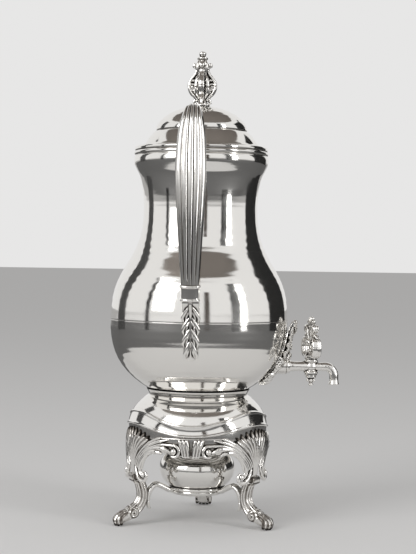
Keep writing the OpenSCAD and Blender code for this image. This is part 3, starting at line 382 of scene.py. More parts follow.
def outline(node):
    """The [r, z] outline of a turned CAD node, and whether it starts and ends on the axis."""
    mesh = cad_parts[node].data
    co = np.array([v.co for v in mesh.vertices]) / MM
    rz = np.stack([np.hypot(co[:, 0] - AXIS_X, co[:, 1]), co[:, 2]], 1)
    keys = [tuple(k) for k in np.floor((rz + KEY_SHIFT) / KEY_STEP).astype(int)]
    place, joined = {}, {}
    for k, p in zip(keys, rz):
        place.setdefault(k, p)
    for poly in mesh.polygons:
        vs = list(poly.vertices)
        for i, j in zip(vs, vs[1:] + vs[:1]):
            pair = tuple(sorted((keys[i], keys[j])))
            joined[pair] = joined.get(pair, 0) + 1
    near = {}
    for (a, b), count in joined.items():
        if a != b and count >= LEAST_EDGES:
            near.setdefault(a, []).append(b)
            near.setdefault(b, []).append(a)
    ends = sorted(k for k in near if len(near[k]) == 1)
    walk = [ends[0] if ends else min(near)]
    while steps := [k for k in near[walk[-1]] if k not in walk]:
        walk.append(steps[0])
    loop = [place[k] for k in walk]
    if ends and loop[0][0] > KEY_STEP:
        loop.insert(0, np.array([0, loop[0][1]]))
    if ends and loop[-1][0] > KEY_STEP:
        loop.append(np.array([0, loop[-1][1]]))
    return np.array(loop), bool(ends)


def faired(loop, open_ends, corner=26, fillet=0.3, longest=1.4):
    """The outline made smooth: curves through gentle points, small rounds on the corners.
    corner: degrees from which a bend is one; fillet: length cut off at it; longest: step on a curve."""
    n = len(loop)
    step = np.roll(loop, -1, axis=0) - loop
    length = np.linalg.norm(step, axis=1)[:, None]
    ahead, length_before = step / length, np.roll(length, 1, axis=0)
    before = np.roll(ahead, 1, axis=0)
    tangent = (before * length + ahead * length_before) / (length_before + length)
    sharp = (before * ahead).sum(1) < math.cos(math.radians(corner))
    if open_ends:
        sharp[[0, -1]] = True
    first = 0 if open_ends or not sharp.any() else int(sharp.argmax())
    out = []
    for i in [(first + k) % n for k in range(n - 1 if open_ends else n)]:
        k = (i + 1) % n
        p, q, ti, tk = loop[i], loop[k], tangent[i], tangent[k]
        if sharp[i]:
            ti = 2 * ahead[i] - tk
        if sharp[k]:
            tk = 2 * ahead[i] - ti
        span = length[i, 0]
        count = 1 if sharp[i] and sharp[k] else int(np.clip(math.ceil(span / longest), 2, 8))
        curve = np.array([(2 * t**3 - 3 * t**2 + 1) * p + (t**3 - 2 * t**2 + t) * span * ti
                          + (3 * t**2 - 2 * t**3) * q + (t**3 - t**2) * span * tk
                          for t in np.arange(count + 1) / count])
        cut = min(fillet, 0.35 * span)
        if sharp[i] and not (open_ends and i == 0):
            curve[0] = curve[0] + unit(curve[1] - curve[0]) * cut
        if sharp[k] and not (open_ends and k == n - 1):
            curve[-1] = curve[-1] + unit(curve[-2] - curve[-1]) * cut
        out.append((sharp[k], q, curve))
    points = []
    for i, (at_corner, q, curve) in enumerate(out):
        points += list(curve if not points or out[i - 1][0] else curve[1:])
        last = i == len(out) - 1
        if at_corner and not (open_ends and last):
            a, b = curve[-1], out[(i + 1) % len(out)][2][0]
            points += [(1 - t)**2 * a + 2 * t * (1 - t) * q + t**2 * b for t in (0.25, 0.5, 0.75)]
        elif last and not open_ends:
            points.pop()
    return np.array(points)


ROUND = 160                 # sides of a turned piece


def set_turned(node, body, shape):
    piece(solid(node + ".turned", round_urn(shape)), body, SPUN, PLATE, node, crease=50)


# ---- materials ----

def nodes_of(name):
    material = bpy.data.materials.new(name)
    material.use_nodes = True
    tree = material.node_tree
    return material, tree, tree.nodes["Principled BSDF"]


def feed(tree, socket, value):
    """Gives a socket another node's output or a plain value."""
    if isinstance(value, bpy.types.NodeSocket):
        tree.links.new(value, socket)
    else:
        socket.default_value = value


def add(tree, kind, **settings):
    """New node. Each setting is a property of the node or an input, with _ for a space."""
    node = tree.nodes.new(kind)
    for key, value in settings.items():
        if hasattr(node, key):
            setattr(node, key, value)
        else:
            feed(tree, node.inputs[key.replace("_", " ")], value)
    return node


def noise(tree, place, scale, detail, roughness):
    node = add(tree, "ShaderNodeTexNoise", Vector=place, Scale=scale, Detail=detail, Roughness=roughness)
    return node.outputs["Fac"]


def ramp(tree, source, stops):
    node = add(tree, "ShaderNodeValToRGB", Fac=source)
    elements = node.color_ramp.elements
    while len(elements) < len(stops):
        elements.new(0.5)
    for element, (at, value) in zip(elements, stops):
        element.position = at
        element.color = (*value, 1)
    return node.outputs["Color"]


def calc(tree, operation, a, b, clamp=False):
    node = add(tree, "ShaderNodeMath", operation=operation, use_clamp=clamp)
    feed(tree, node.inputs[0], a)
    feed(tree, node.inputs[1], b)
    return node.outputs["Value"]


def grey(v):
    return (v, v, v)


# Colour of the silver: dark tarnish mixed with painted shade in recesses and under overhangs, plain silver
# where open
TARNISH_AND_SHADE = [(0.40, (0.024, 0.021, 0.018)), (0.62, (0.13, 0.115, 0.10)), (0.84, (0.56, 0.535, 0.505)),
           (1.0, (0.93, 0.915, 0.885))]      # from sheltered to open
# Painted shade and tarnish, darkening the colour per mm of recess
RECESS_SHADE_AND_TARNISH = 2.6                         # per mm of recess


def silver(name, reach, polish, hairlines=0.03, pitted=0.0):
    """Silver plate: smudges, hairline scratches, worn crests, dark tarnish and painted shade where sheltered.
    reach: how far in mm a wall shelters, for the painted shade; pitted: how rough a cast skin is."""
    material, tree, shader = nodes_of(name)
    shader.inputs["Metallic"].default_value = 1
    place = tree.nodes.new("ShaderNodeTexCoord").outputs["Object"]
    smudge = noise(tree, place, 38, 5, 0.62)
    fine = noise(tree, place, 420, 4, 0.6)
    # Ambient occlusion and recess depth darken the base colour: painted shade, with some tarnish
    shelter = add(tree, "ShaderNodeAmbientOcclusion", samples=8, Distance=reach * MM)
    lit_and_clean = calc(tree, "ADD", shelter.outputs["AO"], calc(tree, "MULTIPLY", fine, 0.22))
    depth = add(tree, "ShaderNodeAttribute", attribute_name="recess").outputs["Fac"]
    lit_and_clean = calc(tree, "SUBTRACT", lit_and_clean, calc(tree, "MULTIPLY", depth, RECESS_SHADE_AND_TARNISH))
    feed(tree, shader.inputs["Base Color"], ramp(tree, lit_and_clean, TARNISH_AND_SHADE))
    dull = ramp(tree, lit_and_clean, [(0.5, grey(0.40)), (1.0, grey(0.0))])
    bright = ramp(tree, smudge, [(0.35, grey(polish)), (0.75, grey(polish + 0.09))])
    feed(tree, shader.inputs["Roughness"], calc(tree, "ADD", dull, bright, True))
    stretched = add(tree, "ShaderNodeMapping", Vector=place, Scale=(1, 1, 14), Rotation=(0.3, 0.5, 0))
    hair = noise(tree, stretched.outputs["Vector"], 160, 3, 0.7)
    skin = add(tree, "ShaderNodeBump", Strength=hairlines, Distance=0.0004, Height=hair)
    if pitted:
        skin = add(tree, "ShaderNodeBump", Strength=pitted, Distance=0.0004, Height=fine,
                   Normal=skin.outputs["Normal"])
    feed(tree, shader.inputs["Normal"], skin.outputs["Normal"])
    return material


SPUN = silver("spun_silver", 1.6, 0.06)
CAST = silver("cast_silver", 2.4, 0.09, pitted=0.12)


# ---- stage, in metres ----

def sheet(name, points, faces, place, colour, roughness=1, specular=0.5):
    """Flat sheet of the studio."""
    mesh = bpy.data.meshes.new(name)
    mesh.from_pydata(points, [], faces)
    obj = new_object(name, mesh)
    obj.matrix_world = place
    material, _, shader = nodes_of(name)
    shader.inputs["Base Color"].default_value = (*colour, 1)
    shader.inputs["Roughness"].default_value = roughness
    shader.inputs["Specular IOR Level"].default_value = specular
    mesh.materials.append(material)
    return obj


def make_floor(half=20):
    corners = [(-half, -half, 0), (half, -half, 0), (half, half, 0), (-half, half, 0)]
    floor = sheet("floor", corners, [(0, 1, 2, 3)], Matrix(), (0.72, 0.715, 0.71), 0.7, 0)


def make_world(pale=0.80, fill=0.55):
    """Pale to the camera and in reflections, dimmer as a light."""
    world = bpy.data.worlds.new("studio")
    bpy.context.scene.world = world
    world.use_nodes = True
    tree = world.node_tree
    background = tree.nodes["Background"]
    rays = tree.nodes.new("ShaderNodeLightPath").outputs
    seen = calc(tree, "MAXIMUM", rays["Is Camera Ray"], rays["Is Glossy Ray"])
    mix = add(tree, "ShaderNodeMix", data_type="FLOAT", A=fill, B=pale)
    tree.links.new(calc(tree, "MAXIMUM", seen, rays["Is Transmission Ray"]), mix.inputs["Factor"])
    tree.links.new(mix.outputs["Result"], background.inputs["Strength"])
    background.inputs["Color"].default_value = (1, 0.995, 0.99, 1)


def area_light(name, place, aim, size, power):
    data = bpy.data.lights.new(name, "AREA")
    data.shape = "RECTANGLE"
    data.size, data.size_y = size
    data.energy = power
    place, aim = Vector(place), Vector(aim)
    turn = (aim - place).to_track_quat("-Z", "Y").to_matrix().to_4x4()
    new_object(name, data).matrix_world = Matrix.Translation(place) @ turn


def dark_card(*what):
    """Sheet that only the polished metal shows."""
    obj = sheet(*what)
    obj.visible_camera = obj.visible_diffuse = obj.visible_shadow = False


def upright_card(name, azimuth, distance, z, size, colour):
    w, h = size[0] / 2, size[1] / 2
    place = turned(azimuth) @ Matrix.Translation((0, -distance, z))
    dark_card(name, [(-w, 0, -h), (w, 0, -h), (w, 0, h), (-w, 0, h)], [(0, 1, 2, 3)], place, colour)


def level_card(name, z, inner, outer, colour, sides=48):
    """Flat ring round the urn."""
    points = [(r * math.cos(a), r * math.sin(a), 0) for a in circle(sides) for r in (inner, outer)]
    faces = [(2 * k, 2 * k + 1, (2 * k + 3) % (2 * sides), (2 * k + 2) % (2 * sides)) for k in range(sides)]
    dark_card(name, points, faces, Matrix.Translation((AXIS_X * MM, 0, z)), colour)


make_floor()
make_world()
MIDDLE = (AXIS_X * MM, 0, 0.22)
area_light("key", (-1.5, -1.6, 1.2), MIDDLE, (1.2, 1.6), 22)
area_light("side", (1.5, -0.9, 0.7), MIDDLE, (0.5, 1.4), 10)
for card in (("card_left_back", -112, 1.6, 0.6, (0.5, 1.8), grey(0.08)),
             ("card_right_back", 128, 1.6, 0.6, (1.3, 1.8), grey(0.02)),
             ("card_right", 52, 1.5, 0.55, (0.34, 1.9), grey(0.02)),
             ("card_front", 14, 1.9, 0.5, (0.22, 1.6), (0.10, 0.085, 0.075)),
             ("card_left", -64, 1.6, 0.55, (0.16, 1.9), grey(0.02))):
    upright_card(*card)
level_card("card_low", 0.004, 0.42, 3.2, grey(0.13))
level_card("card_top", 1.9, 0, 1.5, (0.24, 0.215, 0.195))

# ---- turned pieces ----

PLATE = "silver_plate"
for node, body in (("urn_body_lower", "urn"), ("urn_body_upper", "urn"), ("urn_foot", "urn"),
                   ("lid_shell", "lid"), ("lid_bezel", "lid"), ("stand_shell", "stand"),
                   ("burner_ring", "stand"), ("burner_bowl", "burner"), ("burner_cover", "burner"),
                   ("burner_snuffer", "snuffer")):
    loop, open_ends = outline(node)
    set_turned(node, body, lathe_mesh(faired(loop, open_ends), open_ends, ROUND))


LEVELS = np.arange(20, 345, 0.25)       # heights at which a face's radius is taken


def outer_r(*nodes):
    """Radius of the outer face of turned nodes, as a function of height."""
    reach = np.zeros(len(LEVELS))
    for node in nodes:
        loop = faired(*outline(node))
        for a, b in zip(loop, np.roll(loop, -1, axis=0)):
            if a[1] != b[1]:
                t = (LEVELS - a[1]) / (b[1] - a[1])
                reach = np.where((t >= 0) & (t <= 1), np.maximum(reach, a[0] + t * (b[0] - a[0])), reach)
    solid = reach > 0
    return lambda z: np.interp(z, LEVELS[solid], reach[solid])


body_r = outer_r("urn_body_lower", "urn_body_upper")
shell_r = outer_r("stand_shell")


def body_lean(z):
    """Outward direction [r, z] of the body's face at height z."""
    slope = body_r(z + 0.5) - body_r(z - 0.5)
    return unit(np.stack([np.ones_like(slope), -slope], -1))


def make_rim():
    """Moulded band round the mouth: two beads, a full round, and an ogee that runs out on the neck."""
    r, top = half_width("urn_rim"), high("urn_rim")[2]
    face = [(r - 1.2, 0), (r - 0.7, -0.6), (r - 0.2, -1.5), (r - 0.3, -2.8), (r - 1.3, -3.9), (r - 0.6, -5.2),
            (r - 0.1, -7.0), (r, -9.4), (r - 0.35, -11.6), (r - 1.5, -14.2), (r - 3.0, -17.2),
            (body_r(top - 21) + 0.3, -21), (body_r(top - 25) + 0.02, -25)]
    face = spline(face, 5) + [0, top]
    under = [(body_r(z) + 0.06, z) for z in np.linspace(face[-1][1] - 0.3, top, 30)]
    return lathe_mesh(np.concatenate([face, under]), False, ROUND)


def make_collar():
    """Flared lip over a groove, and a skirt that runs out on the shell's shoulder."""
    r, top = half_width("stand_collar"), high("stand_collar")[2]
    lip = spline([(r - 3.8, -3.4), (r - 2.8, -1.0), (r - 0.3, 0), (r, -0.3), (r - 1.0, -2.0), (r - 1.9, -3.6),
                  (r - 2.5, -4.9)], 4)
    on_shell = [(shell_r(top - down) + proud, -down)
                for down, proud in ((9.6, 0.5), (11.2, 0.2), (12.8, 0.02))]
    skirt = spline([(r - 2.4, -5.1), (r - 1.7, -5.5), (r - 0.4, -6.3), (r + 1.5, -7.6)] + on_shell, 4)
    inside = [(r + 2.8, -10.1), (r + 0.8, -8.8), (r - 2.0, -9.2), (r - 2.0, -13.9), (r - 8.8, -13.9),
              (r - 8.8, -12.4), (r - 3.8, -12.4)]
    return lathe_mesh(np.concatenate([lip, skirt, inside]) + [0, top], False, ROUND)


set_turned("urn_rim", "urn", make_rim())
set_turned("stand_collar", "stand", make_collar())


# ---- handles ----

def reeded(half_w, half_t, reeds, depth, count):
    """Section [across, out] of a limb: reeds side by side on its show face, a plain back."""
    a = circle(count)
    across = half_w * np.cos(a)
    out = half_t * np.sin(a)
    lane = (across / half_w + 1) / 2 * reeds
    crown = np.sqrt(np.clip(1 - (2 * (lane % 1) - 1) ** 2, 0, 1))
    show = np.clip(np.sin(a) * 4, 0, 1)
    return across, out - show * depth * (1 - crown)


def swept(path, widths, thicknesses, reeds, depth, count=110):
    """Limb in the plane through the urn's axis. path is [r, z]; the show face is on its left."""
    sizes = [along(q, len(path)) for q in (widths, thicknesses, depth)]
    rings = []
    for (r, z), (dr, dz), w, t, d in zip(path, unit(np.gradient(path, axis=0)), *sizes):
        across, out = reeded(w, t, reeds, d, count)
        rings.append(np.stack([r - dz * out, across, z + dr * out], 1))
    return loft(rings)


SOCKET_OUT = 2.12                                  # from the body's face out to the grip's upper end
END_UP = 0.65                                      # from the grip's lowest point up to its end's middle
ROOT_Z = middle("handle_socket_front")[2]
ROOT_R = body_r(ROOT_Z) + SOCKET_OUT
GRIP_END_Z = low("handle_grip_front")[2] + END_UP
GRIP_END_R, GRIP_END_W, GRIP_END_T = 95, 8, 4.6    # of that end: radius, half width and half thickness
FERRULE_RUN = np.array([-2, -14.0])                # [r, z] from the ferrule's top to its end
MOUTH_R, CREST_Z = 59.4, high("handle_grip_front")[2] + 2.4
# Stations down the grip as [r, z, half width, half thickness]
GRIP = [
    [ROOT_R, ROOT_Z, 6.5, 5.6], [ROOT_R + 1.5, ROOT_Z, 6.5, 5.6], [ROOT_R + 8, ROOT_Z + 5, 6, 4.37],
    [MOUTH_R + 9.4, MOUTH_Z - 13, 5.4, 3.91], [MOUTH_R + 11.4, MOUTH_Z + 8, 5, 3.68],
    [76.5, CREST_Z - 7, 5.4, 3.68], [85, CREST_Z - 4.3, 6.7, 4.1], [93.6, CREST_Z - 10.6, 8.8, 4.3],
    [98.4, CREST_Z - 24, 11.5, 4.5], [101, CREST_Z - 42, 12.9, 4.6], [101.5, MOUTH_Z - 28, 13.3, 4.6],
    [100, MOUTH_Z - 62, 11.7, 4.6], [96.8, GRIP_END_Z + 20, 9.3, 4.6],
    [GRIP_END_R, GRIP_END_Z, GRIP_END_W, GRIP_END_T]]
# Stations down the ferrule as [share of its run, share of the grip's end width, share of its thickness]
FERRULE = [
    [0, 1.0, 1.0], [0.02, 1.1, 1.12], [0.07, 1.16, 1.22], [0.12, 1.16, 1.22], [0.17, 1.08, 1.1],
    [0.2, 0.99, 1.02], [0.5, 0.96, 0.98], [0.84, 0.99, 1.0], [0.87, 1.06, 1.1], [0.92, 1.1, 1.16],
    [0.97, 1.08, 1.12], [1, 1.0, 1.04]]


def make_grip(azimuth):
    s = spline(GRIP, 16)
    deep = np.interp(np.linspace(0, 1, len(s)), [0, 0.12, 0.36, 0.5, 0.95, 1], [0.3, 0.9, 1.5, 1.6, 1.7, 0.7])
    return round_urn(swept(s[:, :2], s[:, 2], s[:, 3], 5, deep), azimuth)


def make_ferrule(azimuth):
    s = spline(FERRULE, 5)
    path = np.array([GRIP_END_R, GRIP_END_Z]) + s[:, :1] * FERRULE_RUN
    return round_urn(swept(path, s[:, 1] * GRIP_END_W, s[:, 2] * GRIP_END_T, 1, 0, 72), azimuth)


LEAF_TOP_Z, LEAF_TIP_Z, LEAF_LENGTH = GRIP_END_Z - 14.2, 153, 54
LEAF_IN = 0.4 * GRIP_END_T + 4.2                   # from the ferrule's middle in to the free leaf's back


def on_leaf_path(v):
    """Bends a flat leaf [across, along, out] down the handle's lower end and over the belly."""
    f = np.linspace(0, 1, 60)
    z = LEAF_TIP_Z + f * (LEAF_TOP_Z - LEAF_TIP_Z)
    lying = np.stack([body_r(z), z], 1) + body_lean(z) * 0.3
    free_r = GRIP_END_R + FERRULE_RUN[0] - LEAF_IN + (z - LEAF_TOP_Z) * FERRULE_RUN[0] / FERRULE_RUN[1]
    free = np.stack([free_r, z], 1)
    mix = np.clip((f - 0.66) / 0.3, 0, 1)[:, None] ** 1.3
    path = lying * (1 - mix) + free * mix
    ahead = unit(np.gradient(path, axis=0))
    length = distance_along(path)
    at = v[:, 1] / LEAF_LENGTH * length[-1]
    (r, z), (dr, dz) = [[np.interp(at, length, q) for q in line.T] for line in (path, ahead)]
    r, z = r + dz * v[:, 2], z - dr * v[:, 2]
    return np.stack([np.sqrt(np.maximum(r * r - v[:, 0] ** 2 * 0.8, 1)), v[:, 0], z], 1)


def leaf_body(edge, off, shoulder, ridge):
    """Flat leaf through [half width, along] points, raised by off, higher down its middle."""
    return loft([np.array([(-w, y, o), (w, y, o), (w * 0.9, y, o + shoulder), (0, y, o + ridge),
                           (-w * 0.9, y, o + shoulder)]) for (w, y), o in zip(edge, off)])


def acanthus(length, half_w, lobes=4):
    """Flat leaf [across, along, out], tip at the start: a midrib, veined lobes down each side."""
    edge = spline([[1.6, 0], [4.4, 1.6], [5.8, 5], [6.4, 12], [6.7, 24], [7.3, 38], [half_w, length]], 8)
    shapes = [leaf_body(edge, np.zeros(len(edge)), 1.3, 2.0),
              rod([[0, 1.5, 1.6], [0, length * 0.5, 2.4], [0, length - 1, 3.4]], [0.7, 1.1, 1.5], 10)]
    step = (length - 10) / lobes
    for k in range(lobes):
        y = 3 + k * step
        w = np.interp(y, edge[:, 1], edge[:, 0])
        lobe = [(1.2, y + step * 1.25, 2.2), (w * 0.62, y + step * 0.75, 2.5),
                (w * 0.98, y + step * 0.25, 1.9), (w * 0.9, y - step * 0.1, 1.3)]
        vein = [(1.0, y + step * 0.95, 2.4), (w * 0.42, y + step * 0.5, 2.7),
                (w * 0.62, y + step * 0.05, 2.2)]
        for side in (-1, 1):
            shapes.append(rod(np.multiply(lobe, (side, 1, 1)), [0.8, 1.5, 1.5, 0.7], squash=0.8))
            shapes.append(rod(np.multiply(vein, (side, 1, 1)), [0.6, 0.95, 0.5]))
    return shapes


def make_bracket():
    return cast("handle_bracket.leaf", acanthus(LEAF_LENGTH, 8), 0.35, 2, on_leaf_path)


bracket = make_bracket()
for side, azimuth in (("front", FRONT), ("rear", REAR)):
    for kind, finish, make in (("grip", "fluted", make_grip), ("ferrule", "moulded", make_ferrule)):
        node = "handle_%s_%s" % (kind, side)
        piece(solid(node + "." + finish, make(azimuth)), "urn", SPUN, PLATE, node, crease=60)
set_round(bracket, FRONT, "urn", "handle_bracket", "leaf", (("front", 0), ("rear", 180)))


# ---- stand: reeding, aprons, legs ----

SHELL_R = half_width("stand_shell")
FACE_R = SHELL_R + 3.5                   # radius at which widths on the stand are measured


def on_face(v):
    """Bends [across, height, out] round the stand's face."""
    return round_z(SHELL_R + v[:, 2], v[:, 0] / FACE_R, v[:, 1])


def coil(centre, start_r, end_r, start_a, turns, height, count=40):
    """Spiral about centre in a level plane, from start_a degrees."""
    a = np.radians(start_a) + np.linspace(0, 2 * np.pi * turns, count)
    return round_z(np.linspace(start_r, end_r, count), a, np.full(count, height)) + [*centre, 0]


EYE = (15.9, 71.1)                       # ball-eyed scroll beside the apron's middle
EYE_END = (49.6, 47.4)                   # ball of the hook that ends the frond beside a leg
# Strands of an apron's right half as [across, height], with their radius and height over the wall
STRANDS = (
    ([(21.8, 80.9), (29.9, 79.2), (38.4, 76.3), (46.1, 71.7), (52.9, 66.1), (59.3, 59.3), (62.0, 53.4)],
     [0.6, 1.35, 1.6, 1.6, 1.5, 1.3, 1.1], 1.5),
    ([(30.4, 81.9), (38.3, 78.8), (46.0, 74.5), (53.7, 68.5), (60.3, 61.5), (63.6, 55.6)],
     [0.8, 1.5, 1.7, 1.6, 1.3, 1.0], 1.4),
    ([(14.4, 76.0), (20.4, 76.4), (28.4, 76.3), (36.4, 74.3), (43.4, 71.2), (50.4, 66.2), (55.9, 60.2),
      (58.9, 54.2)], [1.1, 1.1, 1.15, 1.15, 1.15, 1.15, 1.1, 1.1], 1.9),
    ([(19.4, 70.3), (22.6, 71.5), (27.0, 72.9), (32.4, 73.2), (38.4, 71.9), (44.2, 68.9), (50.2, 64.0),
      (55.0, 58.2), (57.0, 53.4)], [0.8, 2.0, 2.5, 1.9, 1.4, 1.3, 1.2, 1.15, 1.1], 1.7),
    ([(27.6, 67.7), (32.1, 69.2), (38.4, 69.8), (44.4, 67.0), (50.4, 61.9), (54.4, 56.2), (55.7, 52.6)],
     [0.7, 1.6, 1.5, 1.25, 1.2, 1.1, 1.0], 1.8),
    ([(37.8, 68.0), (42.8, 66.9), (47.8, 64.0), (51.9, 59.4), (54.1, 54.8), (54.4, 51.2)],
     [0.7, 1.3, 1.25, 1.15, 1.1, 1.0], 1.6))
# Strands along the frond's lower edge and down the hook
EDGE_STRANDS = (
    ([(40.4, 67.6), (45.2, 65.4), (49.0, 61.6), (51.4, 57.0), (52.6, 52.6)], [0.9, 1.3, 1.3, 1.2, 1.0], 1.0),
    ([(57.0, 53.8), (55.7, 49.6), (53.4, 46.4)], [1.1, 1.2, 0.9], 1.2),
    ([(54.6, 52.0), (53.4, 49.2), (51.6, 47.6)], [1.0, 1.0, 0.7], 1.0))
HOOK = [(62.0, 53.6), (60.2, 49.0), (56.9, 44.6), (52.4, 42.0), (48.4, 42.5), (45.9, 45.2), (45.8, 48.4),
        (47.8, 50.6)]


def strand(points, radii, out):
    """Rod through [across, height] points at one height over the wall."""
    path = spline(points, 8)
    return tube(np.column_stack([path, np.full(len(path), out)]), radii, squash=0.95)


def eye(centre, out, r):
    return ball((*centre, out), r, (1, 1, 0.95))


APRON_HALF = 61                          # half an apron's width


def make_apron():
    """Pierced frieze: two sheaves of flutes in the middle, a ball-eyed scroll and a frond on each side."""
    plate = []
    for t in np.linspace(0, APRON_HALF, 70):
        under = np.interp(t, [0, 9, 14, 20, 27, 36, 42, 47, 51, 54, 61],
                          [66.6, 66.6, 67, 68.4, 69.0, 69.4, 67.2, 64.0, 60.0, 57.0, 56.0])
        over = np.interp(t, [0, 34, 38, 44, 52, 58, 61], [82.4, 82.4, 79.6, 75.6, 69, 63, 59])
        plate.append(np.array([(t, under, 0.1), (t, over, 0.1), (t, over, 0.8), (t, under, 0.8)]))
    shapes = [loft([ring * (-1, 1, 1) for ring in plate[:0:-1]] + plate)]
    half = [strand(*what) for what in STRANDS]
    half += [eye(EYE, 2.2, 2.7), tube(coil(EYE, 4.9, 5.1, -62, -0.62, 1.8), [0.7, 1.2, 1.4, 1.4, 1.2])]
    for foot, waist, head, r in ((2.2, 2.7, 3.9, 1.45), (4.7, 5.4, 7.3, 1.45), (6.9, 8.0, 10.6, 1.3)):
        half.append(strand([(foot, 66.7), (waist, 72.4), ((waist + head) / 2 + 0.2, 77), (head, 80.2)],
                           [r * 0.85, r, r * 1.15, r * 1.05], 1.9))
    half.append(strand(HOOK, [1.2, 1.6, 1.9, 2.0, 1.8, 1.5, 1.1, 0.8], 1.5))
    for t, z in ((24.6, 69.2), (30.2, 68.8), (36.0, 68.0)):
        leaf = [(t + 4.0, z + 2.2), (t + 1.4, z + 1.0), (t - 0.6, z + 0.5)]
        half.append(strand(leaf, [1.1, 1.7, 1.35], 1.2))
    half += [strand(*what) for what in EDGE_STRANDS]
    half.append(eye(EYE_END, 1.7, 2.5))
    web = spline([(57.8, 57), (57.2, 52), (55.2, 47.6), (52.6, 44.6)], 5)
    half.append(loft([np.array([(x - 2.6, z, 0.1), (x + 3.4, z, 0.1), (x + 3.4, z, 0.9), (x - 2.6, z, 0.9)])
                      for x, z in web]))
    return cast("apron.pierced", shapes + mirrored(half), 0.3, 1, on_face)


# Middle line of a leg's face as [r, z], from under the band to the toes
LEG_PATH = spline([
    (63.0, 90), (63.5, 84), (63.8, 76), (63.7, 70), (63.2, 64.5), (62.4, 59), (61.6, 52.5), (60.6, 46.5),
    (58.0, 40.5), (55.4, 34), (54.2, 28), (54.8, 22.4), (57.6, 17.0), (62.2, 12.6), (67.6, 9.4), (73.4, 7.0),
    (78.8, 5.4)], 12)
LEG_AT = distance_along(LEG_PATH)
LEG_LENGTH = LEG_AT[-1]
LEAST_Z = 0.05                           # nothing on a leg reaches lower


def down_leg(z):
    """Distance down the leg's path at which its upper part has height z."""
    return np.interp(-np.asarray(z, float), -LEG_PATH[:, 1], LEG_AT)


def on_leg(v):
    """Bends [across, down the leg, out] along the leg's path and round the stand."""
    x, s, out = v.T
    ahead = unit(np.gradient(LEG_PATH, axis=0))
    (r, z), (dr, dz) = [[np.interp(s, LEG_AT, q) for q in line.T] for line in (LEG_PATH, ahead)]
    past = np.maximum(s - LEG_LENGTH, 0)[:, None] * ahead[-1]
    r, z = r - dz * out + past[:, 0], z + dr * out + past[:, 1]
    a = x / np.interp(s, [0, 40, 60, LEG_LENGTH], [FACE_R, FACE_R, 62, 78])
    return round_z(r, a, np.maximum(z, LEAST_Z))


# Half width of the fan's outermost blade by height, and each blade's share of it and tip height
FAN_Z = [46, 50, 54.3, 60.4, 67.4, 73.6, 78.2, 82.2, 90]
FAN_HALF = [3.4, 3.6, 4.2, 6.6, 12.2, 18.6, 25.0, 31.6, 36.0]
BLADES = ((0.0, 88.4), (0.19, 87.9), (0.39, 86.8), (0.6, 85.0), (0.81, 82.4), (1.0, 79.4))
KNEE_Z = 44.0
# Half width and half thickness of the limb, from above the knee to the toes
LIMB_W = [3.0, 4.0, 5.0, 5.2, 5.3, 6.0, 6.6, 6.4, 5.6]
LIMB_T = [1.6, 2.4, 3.4, 3.7, 3.9, 4.3, 4.7, 4.5, 4.0]


